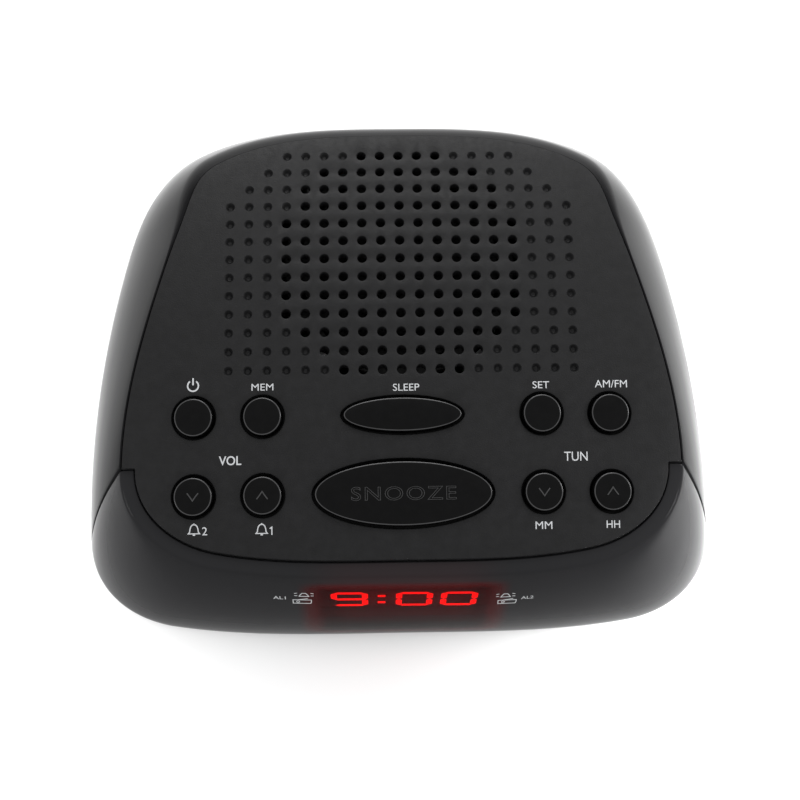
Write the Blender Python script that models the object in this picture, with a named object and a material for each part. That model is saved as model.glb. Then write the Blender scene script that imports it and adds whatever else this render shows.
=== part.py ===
"""Bedside clock radio, modelled as the separate pieces it comes apart into.

Frame: +Z up, +Y to the back, origin on the table under the middle of the footprint. Metres.
The body is a flared hood: a crowned, forward-sloping matt top panel let into a glossy cabinet, with a
smoked display lens that wraps round the whole front. Lengths below are in millimetres and are turned into
metres by MM when a mesh is made.
"""

import math

import bmesh
import bpy
from mathutils import Matrix, Vector
from mathutils.geometry import delaunay_2d_cdt

MM = 0.001

# ---------------------------------------------------------------- driving dimensions (mm)
SHIFT_Y = 12.45          # moves the design's grille-centred Y to the middle of the footprint
PANEL_TILT = 5.0         # forward slope of the top at the grille centre, degrees
PANEL_HEIGHT = 47.0      # top surface above the table at the grille centre
CROWN_YY = 0.00200       # front-to-back crown of the top
CROWN_YYY = 8.5e-6       # its flattening towards the front
CROWN_XX = 0.000283      # side-to-side crown
PANEL_T = 2.2            # top panel wall
WALL_T = 2.3             # cabinet wall
BODY_Z0 = 2.0            # lower edge of cabinet and lens above the table
GRILLE_PITCH = 4.6       # speaker hole spacing
GRILLE_HOLE_R = 1.15     # speaker hole radius
RIM_W = 3.6              # width of the lens's top rim in front of the panel
RIM_DROP = 1.1           # rim below the panel surface
LENS_T = 2.0             # display lens wall
BULGE_SIDE, BULGE_FRONT = 1.5, 2.4   # outward bow of the walls at mid height
DISPLAY_TILT = 6.8       # display face from upright, degrees
DISPLAY_Y, DISPLAY_Z = -77.4, 15.7  # middle of the display face
KEY_TILT = 12.5          # the keys travel square to this slope, degrees
KEY_TRAVEL = 0.8         # key stroke
KEY_Y, KEY_Z = -47.25, 39.15   # middle between the two key rows, on the panel surface
KEY_BOARD = -10.5        # key board's upper face below the panel surface
SWITCH_H = 3.5           # tact switch body height
KEY_ROW_BACK, KEY_ROW_FRONT = 9.33, -9.33  # key rows in the key plane
KEY_HOLE_CLEAR = 0.5     # gap all round a key cap
SPEAKER_R = 28.5         # 57 mm loudspeaker
FOOT_R, FOOT_H = 5.5, 2.3

# Plan outlines of the hood's top edge and of its foot, right half, from the front middle to the back middle.
# Each corner point is (x, y, heading): the heading is the way the edge runs there, 0 = +X and 90 = +Y.
EDGE_CORNERS = [(0, -75.0, 0), (45.0, -72.5, 11), (67.0, -49.5, 91), (54.0, 10.5, 105), (46.0, 27.5, 149),
                (0, 35.5, 180)]
FOOT_CORNERS = [(0, -84.5, 0), (58.0, -82.0, 9), (80.95, -60.0, 85), (75.5, 21.0, 102), (57.0, 52.5, 152),
                (0, 59.5, 180)]
FULLNESS = [1.0, 1.15, 1.0, 1.1, 1.0]      # roundness of each stretch between two corner points
STATIONS = [8, 14, 14, 11, 9]              # sections along each stretch
SEAM_CORNER = 2                            # the lens meets the cabinet at this corner point

# speaker grille: open holes reach this many columns either side of the middle, row by row from the back
OPEN_SPAN = [2, 4, 5, 5, 6, 6, 6, 6, 6, 6, 5, 4, 3]

# keys: name, x, row, half width, half depth
KEYS = [("power", -49.5, KEY_ROW_BACK, 4.4, 4.4), ("memory", -33.2, KEY_ROW_BACK, 4.4, 4.4),
        ("sleep", 0.0, KEY_ROW_BACK, 13.9, 3.9), ("set", 33.2, KEY_ROW_BACK, 4.4, 4.4),
        ("band", 49.5, KEY_ROW_BACK, 4.4, 4.4), ("volume_down", -49.5, KEY_ROW_FRONT, 4.4, 4.4),
        ("volume_up", -33.2, KEY_ROW_FRONT, 4.4, 4.4), ("snooze", 0.0, KEY_ROW_FRONT, 20.8, 7.45),
        ("tune_down", 33.2, KEY_ROW_FRONT, 4.4, 4.4), ("tune_up", 49.5, KEY_ROW_FRONT, 4.4, 4.4)]

# case screws: x, y of the bosses
BOSSES = [(-58.5, -46.0), (58.5, -46.0), (-42.0, 19.0), (42.0, 19.0)]
BOSS_Z = 20.0            # where a bottom boss meets the panel's post
FEET = [(-60.0, -62.0), (60.0, -62.0), (-56.0, 36.0), (56.0, 36.0)]
BAY = (-27.0, 27.0, -66.0 + 5.5, -32.0)   # battery bay inside: x0, x1, y0, y1
BAY_TOP = 21.7

SIN, COS = math.sin(math.radians(PANEL_TILT)), math.cos(math.radians(PANEL_TILT))
KSIN, KCOS = math.sin(math.radians(KEY_TILT)), math.cos(math.radians(KEY_TILT))

for old in list(bpy.data.objects):
    bpy.data.objects.remove(old, do_unlink=True)

# ---------------------------------------------------------------- materials
MATERIALS = {}


def material(name, colour, rough, metal=0.0):
    m = bpy.data.materials.new(name)
    m.use_nodes = True
    b = m.node_tree.nodes["Principled BSDF"]
    b.inputs["Base Color"].default_value = (*colour, 1)
    b.inputs["Roughness"].default_value = rough
    b.inputs["Metallic"].default_value = metal
    MATERIALS[name] = m


material("gloss_black", (0.012, 0.012, 0.013), 0.12)
material("matt_black", (0.022, 0.022, 0.024), 0.55)
material("key_black", (0.010, 0.010, 0.010), 0.6)
material("smoked_lens", (0.02, 0.006, 0.006), 0.05)
material("base_black", (0.02, 0.02, 0.02), 0.6)
material("rubber", (0.02, 0.02, 0.02), 0.9)
material("board_green", (0.03, 0.16, 0.06), 0.5)
material("steel", (0.55, 0.55, 0.56), 0.35, 1.0)
material("frame_black", (0.02, 0.02, 0.02), 0.5, 0.0)
material("spring_steel", (0.7, 0.68, 0.62), 0.3, 1.0)
material("ferrite", (0.05, 0.05, 0.05), 0.8)
material("paper_cone", (0.05, 0.05, 0.05), 0.95)
material("copper", (0.6, 0.25, 0.12), 0.4, 1.0)
material("led_grey", (0.06, 0.06, 0.065), 0.5)
material("switch_black", (0.03, 0.03, 0.03), 0.5)
material("capacitor_blue", (0.03, 0.07, 0.25), 0.4)


# ---------------------------------------------------------------- shape helpers
def crown(x, y):
    """World height of the top surface at plan point (x, y): a crowned surface tilted about X."""
    yl = y
    for _ in range(6):
        zl = -CROWN_YY * yl ** 2 - CROWN_YYY * yl ** 3 - CROWN_XX * x ** 2
        yl = (y + zl * SIN) / COS
    return PANEL_HEIGHT + yl * SIN + zl * COS


def slope(x, y):
    """Front-to-back slope angle of the top surface, radians, positive where it falls to the front."""
    return math.atan((crown(x, y + 0.5) - crown(x, y - 0.5)))


def outline(corners):
    """Half plan curve through the corner points, leaving and reaching each one on its heading."""
    out = []
    for (x0, y0, h0), (x1, y1, h1), full, count in zip(corners, corners[1:], FULLNESS, STATIONS):
        p0, p1 = Vector((x0, y0)), Vector((x1, y1))
        reach = (p1 - p0).length * full
        d0 = Vector((math.cos(math.radians(h0)), math.sin(math.radians(h0)))) * reach
        d1 = Vector((math.cos(math.radians(h1)), math.sin(math.radians(h1)))) * reach
        for k in range(count):
            t = k / count
            out.append((2 * t ** 3 - 3 * t ** 2 + 1) * p0 + (t ** 3 - 2 * t ** 2 + t) * d0
                       + (3 * t ** 2 - 2 * t ** 3) * p1 + (t ** 3 - t ** 2) * d1)
    out.append(Vector(corners[-1][:2]))
    return out


EDGE_C, FOOT_C = outline(EDGE_CORNERS), outline(FOOT_CORNERS)
SEAM_C = sum(STATIONS[:SEAM_CORNER])


def inward(curve, i):
    """Unit plan normal pointing into the body at point i of a half curve."""
    a = curve[max(i - 1, 0)] if i > 0 else Vector((-curve[1].x, curve[1].y))
    b = curve[min(i + 1, len(curve) - 1)] if i < len(curve) - 1 else Vector((-curve[-2].x, curve[-2].y))
    t = (b - a).normalized()
    return Vector((-t.y, t.x))


def lip(i):
    """Width of the cabinet's edge round the panel: fine at the sides, a rounded strip at the back."""
    y = EDGE_C[i].y
    return 0.3 + 1.4 * min(1.0, max(0.0, (y - 0.0) / 26.0)) ** 1.3


def outer(i, z, ztop, at_e, at_f):
    """Point of the hood's outer wall at height z: a ruling from foot to edge, bowed outwards."""
    u = (z - BODY_Z0) / (ztop - BODY_Z0)
    p = at_f.lerp(at_e, u)
    n = inward(EDGE_C, i)
    front = max(0.0, n.y) ** 2 if at_e.y < 0 else 0.0
    bulge = BULGE_SIDE + (BULGE_FRONT - BULGE_SIDE) * front
    return p - n * (bulge * 4 * u * (1 - u))


def half_stations(lo, hi, shift_lo=0.0, shift_hi=0.0):
    """(index, edge point, foot point) for the half stations lo..hi; the end ones can move along the curve."""
    rows = []
    for i in range(lo, hi + 1):
        e, f = EDGE_C[i].copy(), FOOT_C[i].copy()
        d = shift_lo if i == lo else shift_hi if i == hi else 0.0
        if d:
            te = (EDGE_C[i + 1] - EDGE_C[i - 1]).normalized()
            tf = (FOOT_C[i + 1] - FOOT_C[i - 1]).normalized()
            e, f = e + te * d * 1.6, f + tf * d      # wider at the top, where the two walls lean apart least
        rows.append((i, e, f))
    return rows


def mirrored(rows):
    """Right-half sections followed by their mirror images, as one run."""
    left = [[Vector((-p.x, p.y, p.z)) for p in s] for s in reversed(rows)]
    return left, rows


def new_object(name, bm, mat, smooth_angle=35.0):
    bmesh.ops.recalc_face_normals(bm, faces=bm.faces)
    mesh = bpy.data.meshes.new(name)
    bm.to_mesh(mesh)
    bm.free()
    mesh.materials.append(MATERIALS[mat])
    obj = bpy.data.objects.new(name, mesh)
    bpy.context.scene.collection.objects.link(obj)
    mesh.shade_smooth()
    mesh.set_sharp_from_angle(angle=math.radians(smooth_angle))
    return obj


def loft(name, sections, mat, caps=True):
    """Skins a run of equal closed sections; open runs get flat ends."""
    bm = bmesh.new()
    rings = [[bm.verts.new(Vector(p) * MM) for p in s] for s in sections]
    n = len(sections[0])
    for a, b in zip(rings, rings[1:]):
        for k in range(n):
            bm.faces.new((a[k], a[(k + 1) % n], b[(k + 1) % n], b[k]))
    if caps:
        for ring in (rings[0], rings[-1]):
            bm.faces.new(ring)
    bmesh.ops.triangulate(bm, faces=[f for f in bm.faces if len(f.verts) > 4])
    return new_object(name, bm, mat)


def ring_points(rx, ry, z, n, cx=0.0, cy=0.0, turn=0.0):
    return [Vector((cx + rx * math.cos(turn + 2 * math.pi * k / n), cy + ry * math.sin(turn + 2 * math.pi * k / n), z))
            for k in range(n)]


def turned(name, rings, mat, n=20, closed=False, turn=0.0):
    """A turned piece from (rx, ry, z) rings, bottom to top; closed joins the last ring to the first, for a bored piece."""
    bm = bmesh.new()
    loops = [[bm.verts.new(p * MM) for p in ring_points(rx, ry, z, n, turn=turn)] for rx, ry, z in rings]
    pairs = list(zip(loops, loops[1:]))
    if closed:
        pairs.append((loops[-1], loops[0]))
    for a, b in pairs:
        for k in range(n):
            bm.faces.new((a[k], a[(k + 1) % n], b[(k + 1) % n], b[k]))
    if not closed:
        bm.faces.new(loops[0])
        bm.faces.new(loops[-1])
    return new_object(name, bm, mat)


def block(name, size, mat, bevel=0.0):
    """A box about its own middle; bevel rounds its upright edges."""
    bm = bmesh.new()
    bmesh.ops.create_cube(bm, size=1.0, matrix=Matrix.Diagonal((size[0] * MM, size[1] * MM, size[2] * MM, 1)))
    if bevel:
        upright = [e for e in bm.edges if abs(e.verts[0].co.z - e.verts[1].co.z) > 1e-6]
        bmesh.ops.bevel(bm, geom=upright, offset=bevel * MM, segments=2, affect="EDGES", profile=0.5)
    return new_object(name, bm, mat)


def plate(name, outline, holes, steiner, top, bottom, mat, posts=()):
    """A plate with holes. outline, holes: plan loops. top(x, y) and bottom(x, y) give the 3-D points of each face.
    posts: (loop, [(radius, z) ...]) pillars on the underside, each closed by its last ring."""
    verts, edges = [], []

    def add(loop):
        base = len(verts)
        verts.extend(Vector((p[0], p[1])) for p in loop)
        edges.extend((base + k, base + (k + 1) % len(loop)) for k in range(len(loop)))
        return list(range(base, base + len(loop)))

    add(outline)
    for h in holes:
        add(h)
    for p in posts:
        add(p[0])
    verts.extend(Vector(s) for s in steiner)
    v2, _, faces, src, _, _ = delaunay_2d_cdt(verts, edges, [], 1, 1e-6)

    def inside(loop, c):
        odd = False
        for (x0, y0), (x1, y1) in zip(loop, loop[1:] + loop[:1]):
            if (y0 > c.y) != (y1 > c.y) and c.x < (x1 - x0) * (c.y - y0) / (y1 - y0) + x0:
                odd = not odd
        return odd

    boxes = [(min(p[0] for p in h), max(p[0] for p in h), min(p[1] for p in h), max(p[1] for p in h), h) for h in holes]
    keep = []
    for f in faces:
        c = (v2[f[0]] + v2[f[1]] + v2[f[2]]) / 3
        if not inside(outline, c):
            continue
        if any(b[0] < c.x < b[1] and b[2] < c.y < b[3] and inside(b[4], c) for b in boxes):
            continue
        keep.append(f)
    bm = bmesh.new()
    up = [bm.verts.new(Vector(top(v.x, v.y)) * MM) for v in v2]
    down = [bm.verts.new(Vector(bottom(v.x, v.y)) * MM) for v in v2]
    border = {}
    in_post = []
    for f in keep:
        c = (v2[f[0]] + v2[f[1]] + v2[f[2]]) / 3
        which = next((k for k, p in enumerate(posts) if inside(p[0], c)), None)
        bm.faces.new([up[k] for k in f])
        if which is None:
            bm.faces.new([down[k] for k in reversed(f)])
        in_post.append(which)
        for a, b in zip(f, f[1:] + f[:1]):
            border[(a, b)] = border.get((a, b), 0) + 1
    for (a, b) in list(border):
        if (b, a) not in border:
            bm.faces.new((up[b], up[a], down[a], down[b]))
    for k, (loop, rings) in enumerate(posts):
        inner_edges = {}
        for f, which in zip(keep, in_post):
            if which == k:
                for a, b in zip(f, f[1:] + f[:1]):
                    inner_edges[(a, b)] = True
        rim = {a: b for (a, b) in inner_edges if (b, a) not in inner_edges}
        start = next(iter(rim))
        order = [start]
        while rim[order[-1]] != start:
            order.append(rim[order[-1]])
        cx = sum(p[0] for p in loop) / len(loop)
        cy = sum(p[1] for p in loop) / len(loop)
        last = [down[j] for j in order]
        angles = [math.atan2(v2[j].y - cy, v2[j].x - cx) for j in order]
        for r, z in rings:
            nxt = [bm.verts.new(Vector((cx + r * math.cos(t), cy + r * math.sin(t), z)) * MM) for t in angles]
            for j in range(len(order)):
                j2 = (j + 1) % len(order)
                bm.faces.new((last[j], last[j2], nxt[j2], nxt[j]))
            last = nxt
        bm.faces.new(last)
    loose = [v for v in bm.verts if not v.link_faces]
    bmesh.ops.delete(bm, geom=loose, context="VERTS")
    return new_object(name, bm, mat, 30.0)


def boolean(obj, other, operation):
    m = obj.modifiers.new(operation.lower(), "BOOLEAN")
    m.operation = operation
    m.solver = "EXACT"
    m.object = other
    other.hide_render = True
    other.display_type = "WIRE"


def to_world(x, yl, zl):
    """Panel-frame point (grille centre, tilted) to the design frame."""
    return (x, yl * COS - zl * SIN, PANEL_HEIGHT + yl * SIN + zl * COS)


def place(obj, x=0.0, y=0.0, z=0.0, parent=None):
    """Design-frame place, or a place in its parent empty's frame."""
    if parent is None:
        obj.location = (x * MM, (y + SHIFT_Y) * MM, z * MM)
    else:
        obj.parent = parent
        obj.location = (x * MM, y * MM, z * MM)
    return obj


def frame_empty(name, x, y, z, tilt):
    e = bpy.data.objects.new(name, None)
    bpy.context.scene.collection.objects.link(e)
    e.location = (x * MM, (y + SHIFT_Y) * MM, z * MM)
    e.rotation_euler = (math.radians(tilt), 0, 0)
    return e


PANEL_FRAME = frame_empty("panel_frame", 0, 0, PANEL_HEIGHT, PANEL_TILT)
KEY_FRAME = frame_empty("key_frame", 0, KEY_Y, KEY_Z, KEY_TILT)

# ---------------------------------------------------------------- cabinet and lens
def cabinet_section(i, e, f):
    n = inward(EDGE_C, i)
    zt = crown(e.x, e.y) - (0.25 if lip(i) > 0.6 else 0.1)
    zs = [BODY_Z0, BODY_Z0 + (zt - BODY_Z0) * 0.34, BODY_Z0 + (zt - BODY_Z0) * 0.68]
    out = [Vector((*outer(i, z, zt, e, f), z)) for z in zs] + [Vector((e.x, e.y, zt))]
    l = lip(i)
    q = e + n * l
    ledge = 2.4 + l
    r = e + n * ledge
    zq = crown(q.x, q.y) - PANEL_T - 0.45
    out += [Vector((q.x, q.y, zt)), Vector((q.x, q.y, zq)), Vector((r.x, r.y, zq)), Vector((r.x, r.y, zq - 1.8))]
    for z in (zq - 1.8, zs[2], zs[1], zs[0]):
        p = outer(i, z, zt, e, f) + n * WALL_T * 1.06
        out.append(Vector((p.x, p.y, z)))
    return out


def lens_section(i, e, f):
    n = inward(EDGE_C, i)
    zt = crown(e.x, e.y) - RIM_DROP
    zs = [BODY_Z0, BODY_Z0 + (zt - BODY_Z0) * 0.34, BODY_Z0 + (zt - BODY_Z0) * 0.68]
    out = [Vector((*outer(i, z, zt, e, f), z)) for z in zs] + [Vector((e.x, e.y, zt))]
    q = e + n * (RIM_W - 0.35)
    r = e + n * (RIM_W + 2.6)
    zq = crown(q.x, q.y)
    zr = crown(r.x, r.y) - PANEL_T - 0.5
    out += [Vector((q.x, q.y, zq - RIM_DROP)), Vector((q.x, q.y, zq - PANEL_T - 0.5)),
            Vector((r.x, r.y, zr)), Vector((r.x, r.y, zr - 1.4))]
    for z in (zt - 3.4, zs[2], zs[1], zs[0]):
        p = outer(i, z, zt, e, f) + n * LENS_T * 1.04
        out.append(Vector((p.x, p.y, z)))
    return out


GAP = 0.17
last = len(EDGE_C) - 1
right = [cabinet_section(*s) for s in half_stations(SEAM_C, last, shift_lo=GAP)]
left, _ = mirrored(right)
cabinet_shell = place(loft("cabinet_shell", right + left[1:], "gloss_black"))

right = [lens_section(*s) for s in half_stations(0, SEAM_C, shift_hi=-GAP)]
left, _ = mirrored(right)
front_lens = place(loft("front_lens", left + right[1:], "smoked_lens"))

# ---------------------------------------------------------------- top panel
PANEL_GAP = 0.25
half = []
for i in range(last, SEAM_C - 1, -1):      # from the back middle forward to the seam
    p = EDGE_C[i] + inward(EDGE_C, i) * (lip(i) + PANEL_GAP)
    half.append((p.x, p.y))
notch = EDGE_C[SEAM_C] + inward(EDGE_C, SEAM_C) * (RIM_W + 0.0)
half.append((notch.x, half[-1][1]))
for i in range(SEAM_C - 2, -1, -1):
    p = EDGE_C[i] + inward(EDGE_C, i) * RIM_W
    half.append((p.x, p.y))
panel_outline = half + [(-x, y) for x, y in reversed(half[1:-1])]

holes = []
grille = []
for row, span in enumerate(OPEN_SPAN):
    for col in range(-span, span + 1):
        yl = (6 - row) * GRILLE_PITCH
        x = col * GRILLE_PITCH
        zl = -CROWN_YY * yl ** 2 - CROWN_YYY * yl ** 3 - CROWN_XX * x ** 2
        grille.append(to_world(x, yl, zl)[:2])
for gx, gy in grille:
    holes.append([(gx + GRILLE_HOLE_R * 1.05 * math.cos(math.pi * k / 3), gy + GRILLE_HOLE_R * 1.05 * math.sin(math.pi * k / 3)) for k in range(6)])


def key_place(x, row):
    """Plan point and height of a key's centre on the panel surface."""
    y, z = KEY_Y + row * KCOS, KEY_Z + row * KSIN
    return x, y, crown(x, y)


def key_hole(x, row, rx, ry, n):
    cx, cy, _ = key_place(x, row)
    return [(cx + (rx + 0.35 + KEY_HOLE_CLEAR) * math.cos(2 * math.pi * k / n),
             cy + (ry + 0.35 + KEY_HOLE_CLEAR) * KCOS * math.sin(2 * math.pi * k / n)) for k in range(n)]


for name, x, row, rx, ry in KEYS:
    holes.append(key_hole(x, row, rx, ry, 16 if rx < 5 else 28))

posts = []
for bx, by in BOSSES:
    loop = [(bx + 3.0 * math.cos(2 * math.pi * k / 10), by + 3.0 * math.sin(2 * math.pi * k / 10)) for k in range(10)]
    posts.append((loop, [(3.0, BOSS_Z + 0.3), (1.35, BOSS_Z + 0.3), (1.35, BOSS_Z + 9.0)]))


def clear_of(x, y):
    if any((x - gx) ** 2 + (y - gy) ** 2 < 9 for gx, gy in grille):
        return False
    for _, kx, row, rx, ry in KEYS:
        cx, cy, _ = key_place(kx, row)
        if ((x - cx) / (rx + 4)) ** 2 + ((y - cy) / (ry + 4)) ** 2 < 1:
            return False
    if any((x - bx) ** 2 + (y - by) ** 2 < 25 for bx, by in BOSSES):
        return False
    j = min(range(len(panel_outline)), key=lambda k: (panel_outline[k][0] - x) ** 2 + (panel_outline[k][1] - y) ** 2)
    return (panel_outline[j][0] - x) ** 2 + (panel_outline[j][1] - y) ** 2 > 16 and abs(x) < 62 and y < 31


steiner = [(x, y) for x in range(-60, 61, 12) for y in range(-66, 34, 9) if clear_of(x, y)]


def panel_top(x, y):
    return x, y, crown(x, y)


def panel_bottom(x, y):
    a = slope(x, y)
    return x, y + PANEL_T * math.sin(a), crown(x, y) - PANEL_T * math.cos(a)


top_panel = place(plate("top_panel", panel_outline, holes, steiner, panel_top, panel_bottom, "matt_black", posts))

# ---------------------------------------------------------------- keys, their switches and their board
for name, x, row, rx, ry in KEYS:
    kx, ky, kz = key_place(x, row)
    drop = KEY_Z + row * KSIN - kz            # how far the crown falls away at this key
    floor = KEY_BOARD + SWITCH_H + drop * KCOS     # switch top, from the key's own origin
    n = 16 if rx < 5 else 28
    big = rx > 5
    prof = [(1.9, 1.9, floor + KEY_TRAVEL + 0.3), (1.9, 1.9, -PANEL_T - 1.65),
            (rx + 1.9, ry + 1.9, -PANEL_T - 1.65), (rx + 1.9, ry + 1.9, -PANEL_T - 0.65),
            (rx + 0.35, ry + 0.35, -PANEL_T - 0.65), (rx + 0.3, ry + 0.3, 0.0), (rx + 0.1, ry + 0.1, 1.0),
            (rx - 0.25, ry - 0.25, 1.3), (rx * 0.6, ry * 0.6, 1.42 if not big else 1.7)]
    cap = turned(f"{name}_key", prof, "key_black", n)
    place(cap, kx, ky, kz)
    cap.rotation_euler = (math.radians(KEY_TILT), 0, 0)
    sw = block(f"{name}_switch", (6.0, 6.0, SWITCH_H), "switch_black")
    place(sw, x, row, KEY_BOARD + SWITCH_H / 2 + 0.02, KEY_FRAME)

key_board = block("key_board", (106.0, 27.0, 1.6), "board_green", 2.0)
place(key_board, 0, -1.0, KEY_BOARD - 0.8 - 0.3, KEY_FRAME)

# ---------------------------------------------------------------- display
DISPLAY_FRAME = frame_empty("display_frame", 0, DISPLAY_Y, DISPLAY_Z, 90.0 - DISPLAY_TILT)
# in this frame +Z points out of the display face and +Y up it
led_module = block("led_display", (43.0, 15.4, 4.6), "led_grey", 0.8)
place(led_module, 0, 0, -2.3, DISPLAY_FRAME)
display_board = block("display_board", (84.0, 18.0, 1.6), "board_green", 1.5)
place(display_board, 0, -0.2, -4.6 - 0.3 - 0.8, DISPLAY_FRAME)

# ---------------------------------------------------------------- loudspeaker, square to the panel at the grille
SPK_Y = -0.5             # middle of the speaker on the panel
R = SPEAKER_R
basket = turned("speaker_frame", [(12.6, 12.6, -20.6), (R - 2.5, R - 2.5, -7.0), (R, R, -7.0), (R, R, -5.6),
                                  (R - 3.3, R - 3.3, -5.6), (R - 3.5, R - 3.5, -6.6), (11.0, 11.0, -19.2),
                                  (6.0, 6.0, -19.2), (6.0, 6.0, -20.6)], "frame_black", 24, closed=True)
place(basket, 0, SPK_Y, 0, PANEL_FRAME)
cone = turned("speaker_cone", [(4.0, 4.0, -18.9), (8.5, 8.5, -17.4), (R - 4.9, R - 4.9, -5.9), (R - 4.1, R - 4.1, -5.9),
                               (R - 4.1, R - 4.1, -4.9), (R - 6.0, R - 6.0, -4.9), (8.0, 8.0, -14.0), (3.5, 3.5, -12.9)],
              "paper_cone", 24)
place(cone, 0, SPK_Y, 0, PANEL_FRAME)
magnet = turned("speaker_magnet", [(12.6, 12.6, -28.2), (13.6, 13.6, -27.6), (13.6, 13.6, -21.5), (12.6, 12.6, -20.9)],
                "ferrite", 20)
place(magnet, 0, SPK_Y, 0, PANEL_FRAME)
gasket = turned("speaker_gasket", [(R - 3.1, R - 3.1, -5.3), (R - 0.2, R - 0.2, -5.3), (R - 0.2, R - 0.2, -4.4),
                                   (R - 3.1, R - 3.1, -4.4)], "rubber", 24, closed=True)
place(gasket, 0, SPK_Y, 0, PANEL_FRAME)
for k in range(4):
    t = math.radians(45 + 90 * k)
    screw = turned(f"speaker_clamp_screw_{k + 1}", [(4.2, 4.2, -8.9), (4.6, 4.6, -7.3), (1.2, 1.2, -7.3), (1.2, 1.2, -3.9)],
                   "steel", 10)
    place(screw, (R + 3.3) * math.cos(t), SPK_Y + (R + 3.3) * math.sin(t), 0, PANEL_FRAME)

# ---------------------------------------------------------------- bottom cover with battery bay and bosses
def inner_foot(extra):
    pts = []
    for i in range(0, len(FOOT_C)):
        p = FOOT_C[i] + inward(FOOT_C, i) * (WALL_T * 1.06 + extra)
        pts.append((p.x, p.y))
    pts = pts[::2] + ([] if (len(pts) - 1) % 2 == 0 else [pts[-1]])
    return pts + [(-x, y) for x, y in reversed(pts[1:-1])]


bm = bmesh.new()
low = [bm.verts.new(Vector((x, y, BODY_Z0 + 0.2)) * MM) for x, y in inner_foot(0.5)]
high = [bm.verts.new(Vector((x, y, BODY_Z0 + 2.4)) * MM) for x, y in inner_foot(1.9)]
for k in range(len(low)):
    j = (k + 1) % len(low)
    bm.faces.new((low[k], low[j], high[j], high[k]))
bm.faces.new(low)
bm.faces.new(high)
bottom_cover = place(new_object("bottom_cover", bm, "base_black"))


def helper_block(name, x0, x1, y0, y1, z0, z1):
    o = block(name, (x1 - x0, y1 - y0, z1 - z0), "base_black")
    return place(o, (x0 + x1) / 2, (y0 + y1) / 2, (z0 + z1) / 2)


W = 1.8
bay_box = helper_block("bay_walls", BAY[0] - W, BAY[1] + W, BAY[2] - W, BAY[3] + W, BODY_Z0 + 1.0, BAY_TOP + 1.5)
boolean(bottom_cover, bay_box, "UNION")
for k, (bx, by) in enumerate(BOSSES):
    b = turned(f"boss_{k}", [(3.9, 3.9, BODY_Z0 + 1.0), (3.9, 3.9, BOSS_Z)], "base_black", 12)
    place(b, bx, by, 0)
    boolean(bottom_cover, b, "UNION")
for k, (sx, sy) in enumerate(((-24.0, -22.0), (56.0, -22.0), (-24.0, 26.0), (56.0, 5.0))):
    b = turned(f"standoff_{k}", [(3.0, 3.0, BODY_Z0 + 1.0), (3.0, 3.0, 8.0)], "base_black", 8)
    place(b, sx, sy, 0)
    boolean(bottom_cover, b, "UNION")
bay_cut = helper_block("bay_space", BAY[0], BAY[1], BAY[2], BAY[3], -2.0, BAY_TOP)
boolean(bottom_cover, bay_cut, "DIFFERENCE")
# a ledge round the bay mouth holds the door flush with the underside
ledge_cut = helper_block("door_recess", BAY[0] - 0.01 - 0.9, BAY[1] + 0.91, BAY[2] - 0.91, BAY[3] + 0.91, -2.0, BODY_Z0 + 0.2 + 1.7)
boolean(bottom_cover, ledge_cut, "DIFFERENCE")
for k, (bx, by) in enumerate(BOSSES):
    c = turned(f"boss_bore_{k}", [(2.9, 2.9, -2.0), (2.9, 2.9, 15.0), (1.5, 1.5, 15.0), (1.5, 1.5, BOSS_Z + 3)], "base_black", 12)
    place(c, bx, by, 0)
    boolean(bottom_cover, c, "DIFFERENCE")
for k, (fx, fy) in enumerate(FEET):
    c = turned(f"foot_seat_{k}", [(FOOT_R + 0.3, FOOT_R + 0.3, -2.0), (FOOT_R + 0.3, FOOT_R + 0.3, BODY_Z0 + 0.2 + 0.8)], "base_black", 16)
    place(c, fx, fy, 0)
    boolean(bottom_cover, c, "DIFFERENCE")

# the door's front edge is a round barrel with a pin at each end; the pins turn in notches beside the bay
HINGE_R, PIN_R = 0.7, 0.45
HINGE_Y, HINGE_Z = BAY[2] + 0.1, BODY_Z0 + 0.2 + HINGE_R
half_width, reach = (BAY[1] - BAY[0]) / 2 + 0.6, BAY[3] + 0.6 - HINGE_Y
profile = [(HINGE_R * math.cos(math.radians(a)), HINGE_R * math.sin(math.radians(a))) for a in range(90, 271, 20)]
profile += [(reach, -HINGE_R), (reach, HINGE_R)]
bm = bmesh.new()
ends = [[bm.verts.new(Vector((x, y, z)) * MM) for y, z in profile] for x in (-half_width, half_width)]
for k in range(len(profile)):
    j = (k + 1) % len(profile)
    bm.faces.new((ends[0][k], ends[0][j], ends[1][j], ends[1][k]))
bm.faces.new(ends[0])
bm.faces.new(ends[1])
battery_door = place(new_object("battery_door", bm, "base_black"), (BAY[0] + BAY[1]) / 2, HINGE_Y, HINGE_Z)
for k, side in enumerate((-1, 1)):
    notch = turned(f"pin_notch_{k}", [(PIN_R + 0.3, PIN_R + 0.3, -1.9), (PIN_R + 0.3, PIN_R + 0.3, 1.9)], "base_black", 12)
    notch.rotation_euler = (0, math.radians(90), 0)
    place(notch, side * (half_width + 0.1), HINGE_Y, HINGE_Z)
    boolean(bottom_cover, notch, "DIFFERENCE")
    pin = turned(f"door_pin_{k}", [(PIN_R, PIN_R, -2.0), (PIN_R, PIN_R, 1.1)], "base_black", 12)
    pin.rotation_euler = (0, math.radians(90 * side), 0)
    place(pin, side * half_width, HINGE_Y, HINGE_Z)
    boolean(battery_door, pin, "UNION")

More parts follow.
